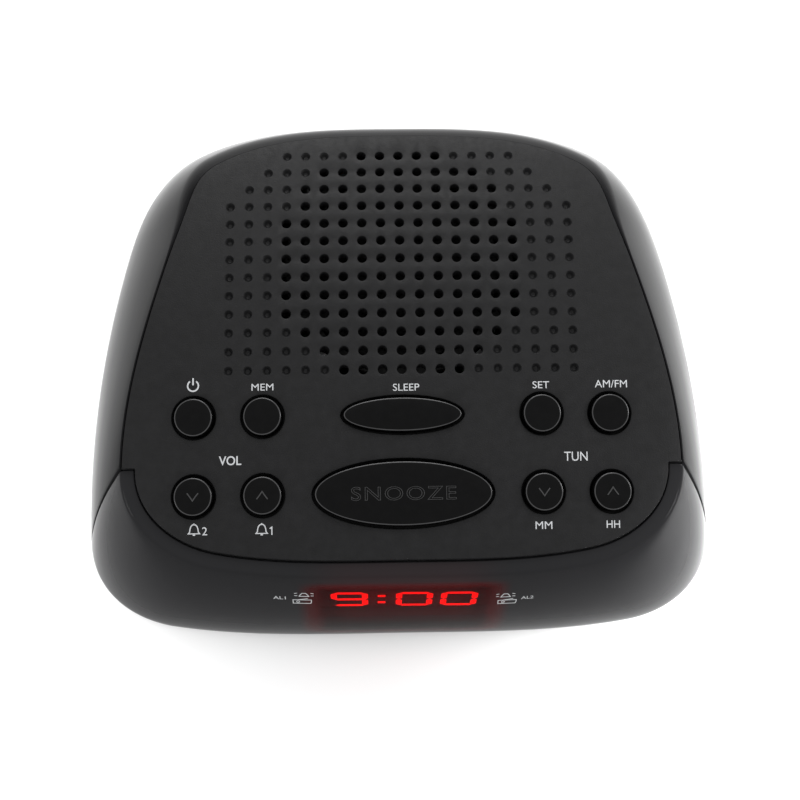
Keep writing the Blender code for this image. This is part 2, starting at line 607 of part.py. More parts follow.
for k, (x, label) in enumerate(((-20.0, "negative"), (-8.0, "positive"))):
    c = turned(f"battery_contact_{label}", [(3.4, 3.4, 0.0), (3.4, 3.4, 0.5), (2.6, 2.6, 0.6), (1.5, 1.5, 2.6)] if label == "negative" else
               [(3.4, 3.4, 0.0), (3.4, 3.4, 0.5), (2.2, 2.2, 0.6), (2.2, 2.2, 2.4)], "spring_steel", 12)
    c.rotation_euler = (0, math.radians(90), 0)
    place(c, BAY[0] + 0.3, (BAY[2] + BAY[3]) / 2 + (6.0 if k else -6.0), 12.0)

for k, (fx, fy) in enumerate(FEET):
    name = ("front_left", "front_right", "back_left", "back_right")[k]
    foot = turned(f"foot_{name}", [(FOOT_R - 0.4, FOOT_R - 0.4, 0.0), (FOOT_R, FOOT_R, 0.4), (FOOT_R, FOOT_R, FOOT_H + 0.4)], "rubber", 16)
    place(foot, fx, fy, 0)

for k, (bx, by) in enumerate(BOSSES):
    name = ("front_left", "front_right", "back_left", "back_right")[k]
    screw = turned(f"case_screw_{name}", [(2.4, 2.4, 12.6), (2.5, 2.5, 14.7), (1.15, 1.15, 14.7), (1.15, 1.15, 27.0), (0.3, 0.3, 28.4)], "steel", 10)
    place(screw, bx, by, 0)

# ---------------------------------------------------------------- electronics on the bottom cover
main_board = block("main_board", (86.0, 56.0, 1.6), "board_green", 1.5)
place(main_board, 16.0, 2.0, 8.3 + 0.8)
boss_way = turned("board_boss_hole", [(4.8, 4.8, 6.0), (4.8, 4.8, 12.0)], "board_green", 16)
place(boss_way, BOSSES[3][0], BOSSES[3][1], 0)
boolean(main_board, boss_way, "DIFFERENCE")
tuner_can = block("tuner_shield_can", (24.0, 18.0, 7.0), "steel", 1.0)
place(tuner_can, 44.0, -12.0, 9.9 + 0.3 + 3.5)
cap = turned("filter_capacitor", [(5.0, 5.0, 0), (5.0, 5.0, 12.0)], "capacitor_blue", 16)
place(cap, -20.5, 22.0, 10.2)
amp = block("amplifier_chip", (20.0, 7.0, 4.0), "switch_black")
place(amp, 24.0, 24.0, 9.9 + 0.3 + 2.0)
core = block("transformer_core", (28.0, 24.0, 22.0), "steel")
core_cut = helper_block("core_window", -51.6 - 5.0, -51.6 + 5.0, -40.0, 10.0, 9.5, 23.5)
boolean(core, core_cut, "DIFFERENCE")
place(core, -51.6, -14.0, 4.7 + 11.0)
coil = block("transformer_coil", (9.4, 34.0, 13.4), "copper", 1.5)
place(coil, -51.6, -14.0, 16.5)
rod = turned("ferrite_rod", [(4.0, 4.0, -32.0), (4.0, 4.0, 32.0)], "ferrite", 16)
rod.rotation_euler = (0, math.radians(90), 0)
place(rod, 8.0, 41.5, 12.5)
acoil = turned("antenna_coil", [(4.4, 4.4, -9.0), (6.2, 6.2, -9.0), (6.2, 6.2, 9.0), (4.4, 4.4, 9.0)], "copper", 16, closed=True)
acoil.rotation_euler = (0, math.radians(90), 0)
place(acoil, -6.0, 41.5, 12.5)

# ---------------------------------------------------------------- mains cord inlet on the back wall
GLAND = Vector((24.0, 0.0, 11.2))
i_back = min(range(SEAM_C, last + 1), key=lambda k: abs(FOOT_C[k].x - GLAND.x) + (0 if EDGE_C[k].y > 20 else 99))
zt_b = crown(EDGE_C[i_back].x, EDGE_C[i_back].y)
wall, under, over = (outer(i_back, GLAND.z + dz, zt_b, EDGE_C[i_back], FOOT_C[i_back]) for dz in (0.0, -3.0, 3.0))
n2 = inward(FOOT_C, i_back)
rise = math.atan2((under - over).length, 6.0)
out_dir = Vector((-n2.x * math.cos(rise), -n2.y * math.cos(rise), math.sin(rise)))
turn_to = out_dir.to_track_quat("Z", "Y").to_euler()
gland_cut = turned("gland_hole", [(4.3, 4.3, -8.0), (4.3, 4.3, 8.0)], "rubber", 16)
place(gland_cut, wall.x, wall.y, GLAND.z)
gland_cut.rotation_euler = turn_to
boolean(cabinet_shell, gland_cut, "DIFFERENCE")
gland = turned("cord_gland", [(3.9, 3.9, -3.4), (3.9, 3.9, 0.45), (5.2, 5.2, 0.45), (5.2, 5.2, 0.9), (4.9, 4.9, 1.15), (2.3, 2.3, 1.15),
                              (2.3, 2.3, -3.4)], "rubber", 16, closed=True)
place(gland, wall.x, wall.y, GLAND.z)
gland.rotation_euler = turn_to
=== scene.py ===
"""Looks of the bedside clock radio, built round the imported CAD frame. Lengths are in millimetres, turned into metres by MM."""
import math

import bmesh
import bpy
from mathutils import Euler, Matrix, Vector
from mathutils.bvhtree import BVHTree
from mathutils.geometry import delaunay_2d_cdt


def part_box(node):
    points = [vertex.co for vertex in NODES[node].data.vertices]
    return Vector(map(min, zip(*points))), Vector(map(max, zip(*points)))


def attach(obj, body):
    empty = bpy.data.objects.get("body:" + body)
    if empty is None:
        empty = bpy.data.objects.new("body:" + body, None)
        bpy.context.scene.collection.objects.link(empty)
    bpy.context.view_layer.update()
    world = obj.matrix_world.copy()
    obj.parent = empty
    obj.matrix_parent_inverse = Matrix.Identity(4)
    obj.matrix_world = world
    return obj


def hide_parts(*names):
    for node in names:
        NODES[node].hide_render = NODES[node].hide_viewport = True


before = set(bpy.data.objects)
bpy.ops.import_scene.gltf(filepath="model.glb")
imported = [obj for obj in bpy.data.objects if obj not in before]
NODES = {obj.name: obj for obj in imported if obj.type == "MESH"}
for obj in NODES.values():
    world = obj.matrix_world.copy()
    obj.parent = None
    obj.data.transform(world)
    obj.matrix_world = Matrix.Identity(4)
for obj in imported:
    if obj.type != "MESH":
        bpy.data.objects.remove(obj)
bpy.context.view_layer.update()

MM = 0.001
SHIFT_Y = 12.45
PANEL_TILT, PANEL_HEIGHT = 5.0, 47.0
CROWN_YY, CROWN_YYY, CROWN_XX = 0.00200, 8.5e-6, 0.000283
PANEL_T, WALL_T, LENS_T, BODY_Z0 = 2.2, 2.3, 2.0, 2.0
GRILLE_PITCH, HOLE_R = 4.6, 1.15
RIM_W, RIM_DROP = 3.6, 1.1
BULGE_SIDE, BULGE_FRONT = 1.5, 2.4
KEY_TILT, KEY_Y, KEY_Z = 12.5, -47.25, 39.15
KEY_ROW = 9.33
KEY_BOARD, SWITCH_H, KEY_TRAVEL = -10.5, 3.5, 0.8
DISPLAY_TILT, DISPLAY_Y, DISPLAY_Z = 6.8, -77.4, 15.7
EDGE_CORNERS = [(0, -75.0, 0), (45.0, -72.5, 11), (67.0, -49.5, 91), (54.0, 10.5, 105), (46.0, 27.5, 149), (0, 35.5, 180)]
FOOT_CORNERS = [(0, -84.5, 0), (58.0, -82.0, 9), (80.95, -60.0, 85), (75.5, 21.0, 102), (57.0, 52.5, 152), (0, 59.5, 180)]
FULLNESS = [1.0, 1.15, 1.0, 1.1, 1.0]
STATIONS = [26, 44, 44, 34, 28]
OPEN_SPAN = [2, 4, 5, 5, 6, 6, 6, 6, 6, 6, 5, 4, 3]
DIMPLE_SPAN = [6, 7, 8, 9, 9, 9, 9, 9, 9, 9, 9, 9, 9]
KEYS = [("power", -49.5, KEY_ROW, 4.4, 4.4), ("memory", -33.2, KEY_ROW, 4.4, 4.4), ("sleep", 0.0, KEY_ROW, 13.9, 3.9),
        ("set", 33.2, KEY_ROW, 4.4, 4.4), ("band", 49.5, KEY_ROW, 4.4, 4.4), ("volume_down", -49.5, -KEY_ROW, 4.4, 4.4),
        ("volume_up", -33.2, -KEY_ROW, 4.4, 4.4), ("snooze", 0.0, -KEY_ROW, 20.8, 7.45),
        ("tune_down", 33.2, -KEY_ROW, 4.4, 4.4), ("tune_up", 49.5, -KEY_ROW, 4.4, 4.4)]
SIN, COS = math.sin(math.radians(PANEL_TILT)), math.cos(math.radians(PANEL_TILT))
KSIN, KCOS = math.sin(math.radians(KEY_TILT)), math.cos(math.radians(KEY_TILT))


# ---------------------------------------------------------------- materials
class Mat:
    """A Principled material with its procedural nodes, in object coordinates."""

    def __init__(self, name, colour, rough, metal=0.0, ior=1.5, coat=0.0):
        self.m = bpy.data.materials.new(name)
        self.m.use_nodes = True
        self.t = self.m.node_tree
        self.b = self.t.nodes["Principled BSDF"]
        self.b.inputs["Base Color"].default_value = (*colour, 1)
        self.b.inputs["Roughness"].default_value = rough
        self.b.inputs["Metallic"].default_value = metal
        self.b.inputs["IOR"].default_value = ior
        self.b.inputs["Coat Weight"].default_value = coat
        self.tc = self.t.nodes.new("ShaderNodeTexCoord").outputs["Object"]
        self.colour, self.rough = colour, rough

    def noise(self, scale, detail=3.0, stretch=None, rough=0.5):
        n = self.t.nodes.new("ShaderNodeTexNoise")
        n.inputs["Scale"].default_value = scale
        n.inputs["Detail"].default_value = detail
        n.inputs["Roughness"].default_value = rough
        src = self.tc
        if stretch:
            mp = self.t.nodes.new("ShaderNodeMapping")
            mp.inputs["Scale"].default_value = stretch
            self.t.links.new(src, mp.inputs["Vector"])
            src = mp.outputs["Vector"]
        self.t.links.new(src, n.inputs["Vector"])
        return n.outputs["Fac"]

    def cells(self, scale):
        n = self.t.nodes.new("ShaderNodeTexVoronoi")
        n.inputs["Scale"].default_value = scale
        self.t.links.new(self.tc, n.inputs["Vector"])
        return n.outputs["Distance"]

    def ramp(self, fac, lo, hi, a=0.3, b=0.7):
        r = self.t.nodes.new("ShaderNodeMapRange")
        r.inputs["From Min"].default_value, r.inputs["From Max"].default_value = a, b
        r.inputs["To Min"].default_value, r.inputs["To Max"].default_value = lo, hi
        self.t.links.new(fac, r.inputs["Value"])
        return r.outputs["Result"]

    def tint(self, fac, amount):
        """Varies the base colour by +-amount with fac."""
        mix = self.t.nodes.new("ShaderNodeMix")
        mix.data_type = "RGBA"
        lo = [c * (1 - amount) for c in self.colour]
        hi = [min(1.0, c * (1 + amount)) for c in self.colour]
        mix.inputs["A"].default_value = (*lo, 1)
        mix.inputs["B"].default_value = (*hi, 1)
        self.t.links.new(self.ramp(fac, 0, 1), mix.inputs["Factor"])
        self.t.links.new(mix.outputs["Result"], self.b.inputs["Base Color"])
        return self

    def vary_rough(self, fac, lo, hi):
        self.t.links.new(self.ramp(fac, lo, hi), self.b.inputs["Roughness"])
        return self

    def bump(self, *layers):
        """layers: (height output, distance in metres)."""
        normal = None
        for fac, dist in layers:
            n = self.t.nodes.new("ShaderNodeBump")
            n.inputs["Distance"].default_value = dist
            n.inputs["Strength"].default_value = 1.0
            self.t.links.new(fac, n.inputs["Height"])
            if normal:
                self.t.links.new(normal, n.inputs["Normal"])
            normal = n.outputs["Normal"]
        self.t.links.new(normal, self.b.inputs["Normal"])
        return self


def gloss_black():
    m = Mat("gloss_black", (0.006, 0.006, 0.0065), 0.12, ior=1.052)
    m.vary_rough(m.noise(38, 4), 0.075, 0.15).tint(m.noise(60), 0.12)
    m.bump((m.noise(90, 2), 0.000012), (m.noise(2600, 2, (1, 1, 0.25)), 0.0000015))
    return m.m


def matt_black():
    m = Mat("matt_black", (0.0058, 0.0058, 0.0062), 0.5, ior=1.27)
    m.tint(m.noise(420, 5), 0.22).vary_rough(m.noise(900, 3), 0.46, 0.60)
    m.bump((m.noise(2600, 4, rough=0.65), 0.00006), (m.cells(3600), 0.00002))
    return m.m


def key_black():
    m = Mat("key_black", (0.0018, 0.0018, 0.0019), 0.34, ior=1.16)
    m.tint(m.noise(500, 3), 0.2).vary_rough(m.noise(300, 4), 0.32, 0.44)
    m.bump((m.noise(3200, 3), 0.000018))
    return m.m


def key_painted_highlight(name, level, rough):
    """Key plastic painted lighter than the key: a painted highlight on the polished rolled edge and on the raised marks
    of the keys.
    """
    m = Mat(name, (level, level, level * 1.04), rough)
    m.tint(m.noise(700, 3), 0.25).vary_rough(m.noise(500, 3), rough - 0.05, rough + 0.08)
    m.bump((m.noise(2400, 2), 0.000008))
    return m.m


def lens_smoked():
    """Smoked lens: see-through at the display window, backed in black everywhere else."""
    m = Mat("smoked_lens", (0.11, 0.0044, 0.0044), 0.03, ior=1.11)
    sep = m.t.nodes.new("ShaderNodeSeparateXYZ")
    m.t.links.new(m.tc, sep.inputs[0])

    def value(v):
        n = m.t.nodes.new("ShaderNodeValue").outputs[0]
        n.default_value = v
        return n

    def step_down(socket, start, end):
        r = m.t.nodes.new("ShaderNodeMapRange")
        r.interpolation_type = "SMOOTHSTEP"
        r.inputs["From Min"].default_value, r.inputs["From Max"].default_value = start, end
        r.inputs["To Min"].default_value, r.inputs["To Max"].default_value = 1.0, 0.0
        m.t.links.new(socket, r.inputs["Value"])
        return r.outputs["Result"]

    def combine(op, a, b=None):
        n = m.t.nodes.new("ShaderNodeMath")
        n.operation = op
        m.t.links.new(a, n.inputs[0])
        if b is not None:
            m.t.links.new(b, n.inputs[1])
        return n.outputs[0]

    wide = step_down(combine("ABSOLUTE", sep.outputs["X"]), 0.0182, 0.0262)
    tall = combine("MULTIPLY", step_down(sep.outputs["Z"], 0.0270, 0.0300), step_down(combine("MULTIPLY", sep.outputs["Z"], value(-1.0)), -0.0085, -0.0035))
    window = combine("MULTIPLY", wide, combine("MULTIPLY", tall, step_down(sep.outputs["Y"], -0.0600, -0.0590)))
    m.t.links.new(window, m.b.inputs["Transmission Weight"])
    mix = m.t.nodes.new("ShaderNodeMix")
    mix.data_type = "RGBA"
    mix.inputs["A"].default_value = (0.0165, 0.0165, 0.0175, 1)
    mix.inputs["B"].default_value = (0.11, 0.0044, 0.0044, 1)
    m.t.links.new(window, mix.inputs["Factor"])
    m.t.links.new(mix.outputs["Result"], m.b.inputs["Base Color"])
    # painted red light: emission in the tinted plastic round the digits stands in for the digits' light scattered in it
    up = step_down(combine("ABSOLUTE", combine("SUBTRACT", sep.outputs["Z"], value(0.0232))), 0.0030, 0.0120)
    painted_glow = combine("MULTIPLY", step_down(combine("ABSOLUTE", sep.outputs["X"]), 0.0120, 0.0265), combine("MULTIPLY", up, step_down(sep.outputs["Y"], -0.0600, -0.0590)))
    m.b.inputs["Emission Color"].default_value = (1.0, 0.03, 0.035, 1)
    m.t.links.new(combine("MULTIPLY", painted_glow, value(0.019)), m.b.inputs["Emission Strength"])
    m.vary_rough(m.noise(45, 3), 0.03, 0.075)
    m.bump((m.noise(60, 2), 0.000006))
    return m.m


def print_white():
    m = Mat("print_white", (0.42, 0.43, 0.44), 0.55)
    m.tint(m.noise(900, 4), 0.08).bump((m.noise(3000, 2), 0.000006))
    return m.m


def moulded(name, colour, rough=0.55, grain=1500, depth=0.00003):
    m = Mat(name, colour, rough)
    m.tint(m.noise(350, 4), 0.15).vary_rough(m.noise(500, 3), rough - 0.07, rough + 0.07)
    m.bump((m.noise(grain, 4), depth))
    return m.m


def metal(name, colour, rough=0.35, stretch=(1, 1, 12)):
    m = Mat(name, colour, rough, 1.0)
    m.tint(m.noise(260, 4), 0.1).vary_rough(m.noise(600, 3, stretch), rough - 0.1, rough + 0.1)
    m.bump((m.noise(1800, 3, stretch), 0.000008))
    return m.m


def felted():
    m = Mat("paper_cone", (0.012, 0.012, 0.012), 0.95)
    m.tint(m.noise(1200, 5), 0.35).bump((m.noise(900, 5, rough=0.7), 0.00012))
    return m.m


def led_face():
    """Dark display face with painted red light round the lit digits: emission that stands in for their light spreading
    over the face.
    """
    m = Mat("led_face", (0.012, 0.010, 0.010), 0.5)
    m.tint(m.noise(500, 3), 0.2).bump((m.noise(1600, 3), 0.00001))
    sep = m.t.nodes.new("ShaderNodeSeparateXYZ")
    m.t.links.new(m.tc, sep.inputs[0])

    def math_node(op, a, b=None, c=None):
        n = m.t.nodes.new("ShaderNodeMath")
        n.operation = op
        for k, v in enumerate((a, b, c)):
            if v is None:
                continue
            if isinstance(v, (int, float)):
                n.inputs[k].default_value = v
            else:
                m.t.links.new(v, n.inputs[k])
        return n.outputs[0]

    dx = math_node("DIVIDE", sep.outputs["X"], 0.0195)
    dz = math_node("DIVIDE", math_node("SUBTRACT", sep.outputs["Z"], 0.0168), 0.0088)
    r2 = math_node("ADD", math_node("POWER", math_node("ABSOLUTE", dx), 4.0), math_node("POWER", math_node("ABSOLUTE", dz), 2.5))
    # painted red light: strongest in the middle of the digit row, falling off outwards
    painted_glow_falloff = math_node("DIVIDE", 1.0, math_node("ADD", 1.0, math_node("MULTIPLY", r2, 1.6)))
    strength = math_node("MULTIPLY", math_node("POWER", painted_glow_falloff, 2.0), 0.25)
    m.b.inputs["Emission Color"].default_value = (1.0, 0.02, 0.015, 1)
    m.t.links.new(strength, m.b.inputs["Emission Strength"])
    return m.m


def led_lit():
    m = Mat("led_lit", (0.25, 0.01, 0.01), 0.4)
    m.b.inputs["Emission Color"].default_value = (1.0, 0.012, 0.008, 1)
    m.t.links.new(m.ramp(m.noise(900, 2), 12.0, 14.5), m.b.inputs["Emission Strength"])
    return m.m


M_GLOSS, M_MATT, M_KEY, M_LENS, M_PRINT = gloss_black(), matt_black(), key_black(), lens_smoked(), print_white()
M_BASE = moulded("base_black", (0.016, 0.016, 0.0165))
M_RUBBER = moulded("rubber_black", (0.012, 0.012, 0.012), 0.85, 2200, 0.00004)
M_BOARD = moulded("board_green", (0.02, 0.11, 0.045), 0.4, 700, 0.00002)
M_STEEL = metal("plated_steel", (0.5, 0.5, 0.51))
M_DARKSTEEL = metal("painted_frame", (0.012, 0.012, 0.012), 0.6)
M_COPPER = metal("enamelled_copper", (0.52, 0.2, 0.09), 0.35, (1, 40, 1))
M_FERRITE = moulded("sintered_ferrite", (0.03, 0.03, 0.032), 0.75, 1100, 0.00005)
M_SWITCH = moulded("switch_black", (0.02, 0.02, 0.02), 0.5)
M_BLUE = moulded("sleeve_blue", (0.02, 0.05, 0.2), 0.35, 600, 0.00001)
M_FELT, M_LED, M_LIT = felted(), led_face(), led_lit()
# edge and marks: key plastic painted lighter, a painted highlight; the lower roughness of the edge is its real polish
M_EDGE_HIGHLIGHT, M_MARK_HIGHLIGHT, M_WORD_HIGHLIGHT = key_painted_highlight("key_polished_edge_painted_highlight", 0.02, 0.22), key_painted_highlight("key_mark_painted_highlight", 0.016, 0.3), key_painted_highlight("key_word_painted_highlight", 0.014, 0.35)


# ---------------------------------------------------------------- surfaces, as the CAD has them but finer
def crown(x, y):
    yl = y
    for _ in range(6):
        zl = -CROWN_YY * yl ** 2 - CROWN_YYY * yl ** 3 - CROWN_XX * x ** 2
        yl = (y + zl * SIN) / COS
    return PANEL_HEIGHT + yl * SIN + zl * COS


def panel_normal(x, y):
    h = 0.2
    return Vector(((crown(x - h, y) - crown(x + h, y)) / (2 * h), (crown(x, y - h) - crown(x, y + h)) / (2 * h), 1)).normalized()


def outline(corners):
    out = []
    for (x0, y0, h0), (x1, y1, h1), full, count in zip(corners, corners[1:], FULLNESS, STATIONS):
        p0, p1 = Vector((x0, y0)), Vector((x1, y1))
        reach = (p1 - p0).length * full
        d0 = Vector((math.cos(math.radians(h0)), math.sin(math.radians(h0)))) * reach
        d1 = Vector((math.cos(math.radians(h1)), math.sin(math.radians(h1)))) * reach
        for k in range(count):
            t = k / count
            out.append((2 * t ** 3 - 3 * t ** 2 + 1) * p0 + (t ** 3 - 2 * t ** 2 + t) * d0
                       + (3 * t ** 2 - 2 * t ** 3) * p1 + (t ** 3 - t ** 2) * d1)
    out.append(Vector(corners[-1][:2]))
    return out


EDGE_C, FOOT_C = outline(EDGE_CORNERS), outline(FOOT_CORNERS)
SEAM_C = STATIONS[0] + STATIONS[1]
LAST = len(EDGE_C) - 1


def raw_normal(i):
    a = EDGE_C[i - 1] if i > 0 else Vector((-EDGE_C[1].x, EDGE_C[1].y))
    b = EDGE_C[i + 1] if i < LAST else Vector((-EDGE_C[-2].x, EDGE_C[-2].y))
    t = (b - a).normalized()
    return Vector((-t.y, t.x))


NORMALS = [raw_normal(i) for i in range(LAST + 1)]
for _ in range(10):     # even out the turn of the normals where two stretches meet
    NORMALS = [NORMALS[0]] + [(NORMALS[i - 1] + NORMALS[i] * 2 + NORMALS[i + 1]).normalized() for i in range(1, LAST)] + [NORMALS[-1]]


def lip(i):
    return 0.3 + 1.4 * min(1.0, max(0.0, EDGE_C[i].y / 26.0)) ** 1.3


def outer(i, z, ztop, e, f):
    u = (z - BODY_Z0) / (ztop - BODY_Z0)
    n = NORMALS[i]
    front = max(0.0, n.y) ** 2 if e.y < 0 else 0.0
    return f.lerp(e, u) - n * ((BULGE_SIDE + (BULGE_FRONT - BULGE_SIDE) * front) * 4 * u * (1 - u))


def fillets(points, radii, seg=4):
    """Rounds the corners of a closed loop; radius 0 leaves a corner as it is."""
    out, n = [], len(points)
    for k in range(n):
        p, r = points[k], radii[k]
        if not r:
            out.append(p.copy())
            continue
        a, b = points[k - 1] - p, points[(k + 1) % n] - p
        ra, rb = min(r, a.length * 0.45), min(r, b.length * 0.45)
        s, e = p + a.normalized() * ra, p + b.normalized() * rb
        for j in range(seg + 1):
            t = j / seg
            out.append(s.lerp(p, t).lerp(p.lerp(e, t), t))
    return out


WALL_ROWS = 12


def v3(p, z):
    return Vector((p.x, p.y, z))


def cabinet_section(i, e, f, shrink=0.0):
    n = NORMALS[i]
    l = lip(i)
    zt = crown(e.x, e.y) - 0.1 - 0.15 * min(1.0, max(0.0, (l - 0.3) / 0.3))
    back = min(1.0, max(0.0, (l - 0.3) / 1.4))
    fall = 0.32 + 6.6 * back
    zs = [BODY_Z0 + (zt - fall - BODY_Z0) * k / WALL_ROWS for k in range(WALL_ROWS)]
    pts = [v3(outer(i, z, zt, e, f) + n * shrink, z) for z in zs]
    rad = [0.7] + [0] * (WALL_ROWS - 1)
    q, r = e + n * l, e + n * (2.4 + l)
    w0 = v3(outer(i, zt - fall, zt, e, f) + n * shrink, zt - fall)
    zc = zt - fall * 0.5 * back
    w1, w2 = v3(outer(i, zc, zt, e, f) + n * shrink, zc - shrink), v3(q, zt - shrink)
    for k in range(7):
        t = k / 6
        pts.append(w0.lerp(w1, t).lerp(w1.lerp(w2, t), t))
        rad.append(0)
    zq = crown(q.x, q.y) - PANEL_T - 0.45
    pts += [v3(q, zq), v3(r, zq), v3(r, zq - 1.8)]
    rad += [0, 0.2, 0.2]
    for z in (zq - 1.8, zs[8], zs[4], zs[0]):
        pts.append(v3(outer(i, z, zt, e, f) + n * WALL_T * 1.06, z))
    rad += [0.3, 0, 0, 0.3]
    return fillets(pts, rad)


def lens_section(i, e, f, shrink=0.0):
    n = NORMALS[i]
    zt = crown(e.x, e.y) - RIM_DROP
    zs = [BODY_Z0 + (zt - BODY_Z0) * k / WALL_ROWS for k in range(WALL_ROWS)]
    pts = [v3(outer(i, z, zt, e, f) + n * shrink, z) for z in zs]
    rad = [0.7] + [0] * (WALL_ROWS - 1)
    pts.append(v3(e + n * shrink, zt - shrink))
    rad.append(0.8)
    q, r = e + n * (RIM_W - 0.35), e + n * (RIM_W + 2.6)
    zq = crown(q.x, q.y)
    zr = crown(r.x, r.y) - PANEL_T - 0.5
    pts += [v3(q, zq - RIM_DROP - shrink), v3(q, zq - PANEL_T - 0.5), v3(r, zr), v3(r, zr - 1.4)]
    rad += [0.35, 0, 0.2, 0.2]
    for z in (zt - 3.4, zs[8], zs[4], zs[0]):
        pts.append(v3(outer(i, z, zt, e, f) + n * LENS_T * 1.04, z))
    rad += [0.5, 0, 0, 0.3]
    return fillets(pts, rad)


def sections(make, lo, hi, end, into):
    """Right-half sections; the seam end gets a fine rounded edge. into is the way along the curve back into the piece."""
    rows = []
    for i in range(lo, hi + 1):
        if i != end:
            rows.append(make(i, EDGE_C[i], FOOT_C[i]))
            continue
        te, tf = (EDGE_C[i + 1] - EDGE_C[i - 1]).normalized(), (FOOT_C[i + 1] - FOOT_C[i - 1]).normalized()
        made = []
        for back, shrink in ((0.17, 0.22), (0.20, 0.10), (0.28, 0.03), (0.42, 0.0)):
            made.append(make(i, EDGE_C[i] + te * back * into, FOOT_C[i] + tf * back * into, shrink))
        rows += made if into > 0 else made[::-1]
    return rows


def finish(name, bm, mats, body, angle=35.0):
    """Turns a bmesh (mm, design frame) into a piece that rides on a body."""
    for v in bm.verts:
        v.co = Vector((v.co.x, v.co.y + SHIFT_Y, v.co.z)) * MM
    bmesh.ops.recalc_face_normals(bm, faces=bm.faces)
    me = bpy.data.meshes.new(name)
    bm.to_mesh(me)
    bm.free()
    for m in mats if isinstance(mats, (list, tuple)) else [mats]:
        me.materials.append(m)
    me.shade_smooth()
    me.set_sharp_from_angle(angle=math.radians(angle))
    o = bpy.data.objects.new(name, me)
    bpy.context.scene.collection.objects.link(o)
    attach(o, body)
    return o


def skin(rows, pick=None):
    bm = bmesh.new()
    rings = [[bm.verts.new(p) for p in s] for s in rows]
    n = len(rows[0])
    for a, b in zip(rings, rings[1:]):
        for k in range(n):
            f = bm.faces.new((a[k], a[(k + 1) % n], b[(k + 1) % n], b[k]))
            if pick:
                f.material_index = pick(k)
    caps = [bm.faces.new(rings[0]), bm.faces.new(rings[-1])]
    bmesh.ops.triangulate(bm, faces=caps)
    return bm


def mirror(rows):
    return [[Vector((-p.x, p.y, p.z)) for p in s] for s in reversed(rows)]


right = sections(cabinet_section, SEAM_C, LAST, SEAM_C, 1)
cabinet = finish("cabinet_shell_visual", skin(right + mirror(right)[1:]), M_GLOSS, "case", 30)
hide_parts("cabinet_shell")

right = sections(lens_section, 0, SEAM_C, SEAM_C, -1)
lens = finish("front_lens_visual", skin(mirror(right) + right[1:]), M_LENS, "case", 30)
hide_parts("front_lens")


# ---------------------------------------------------------------- top panel
def key_place(x, row):
    y = KEY_Y + row * KCOS
    return x, y, crown(x, y)


def ring(cx, cy, rx, ry, n):
    return [(cx + rx * math.cos(2 * math.pi * k / n), cy + ry * math.sin(2 * math.pi * k / n)) for k in range(n)]


def panel_half(inset):
    out = []
    for i in range(LAST, SEAM_C - 1, -1):
        p = EDGE_C[i] + NORMALS[i] * (lip(i) + 0.13 + inset)
        out.append((p.x, p.y))
    notch = EDGE_C[SEAM_C] + NORMALS[SEAM_C] * (RIM_W + inset)
    y_notch = out[-1][1] + inset
    out[-1] = (out[-1][0], y_notch)
    out.append((notch.x, y_notch))
    for i in range(SEAM_C - 3, -1, -1):
        p = EDGE_C[i] + NORMALS[i] * (RIM_W + inset)
        out.append((p.x, p.y))
    return out


def panel_loop(inset):
    h = panel_half(inset)
    return h + [(-x, y) for x, y in reversed(h[1:-1])]


GRILLE = []
for row, span in enumerate(DIMPLE_SPAN):
    for col in range(-span, span + 1):
        yl, x = (6 - row) * GRILLE_PITCH, col * GRILLE_PITCH
        zl = -CROWN_YY * yl ** 2 - CROWN_YYY * yl ** 3 - CROWN_XX * x ** 2
        GRILLE.append((x, yl * COS - zl * SIN, abs(col) <= OPEN_SPAN[row]))


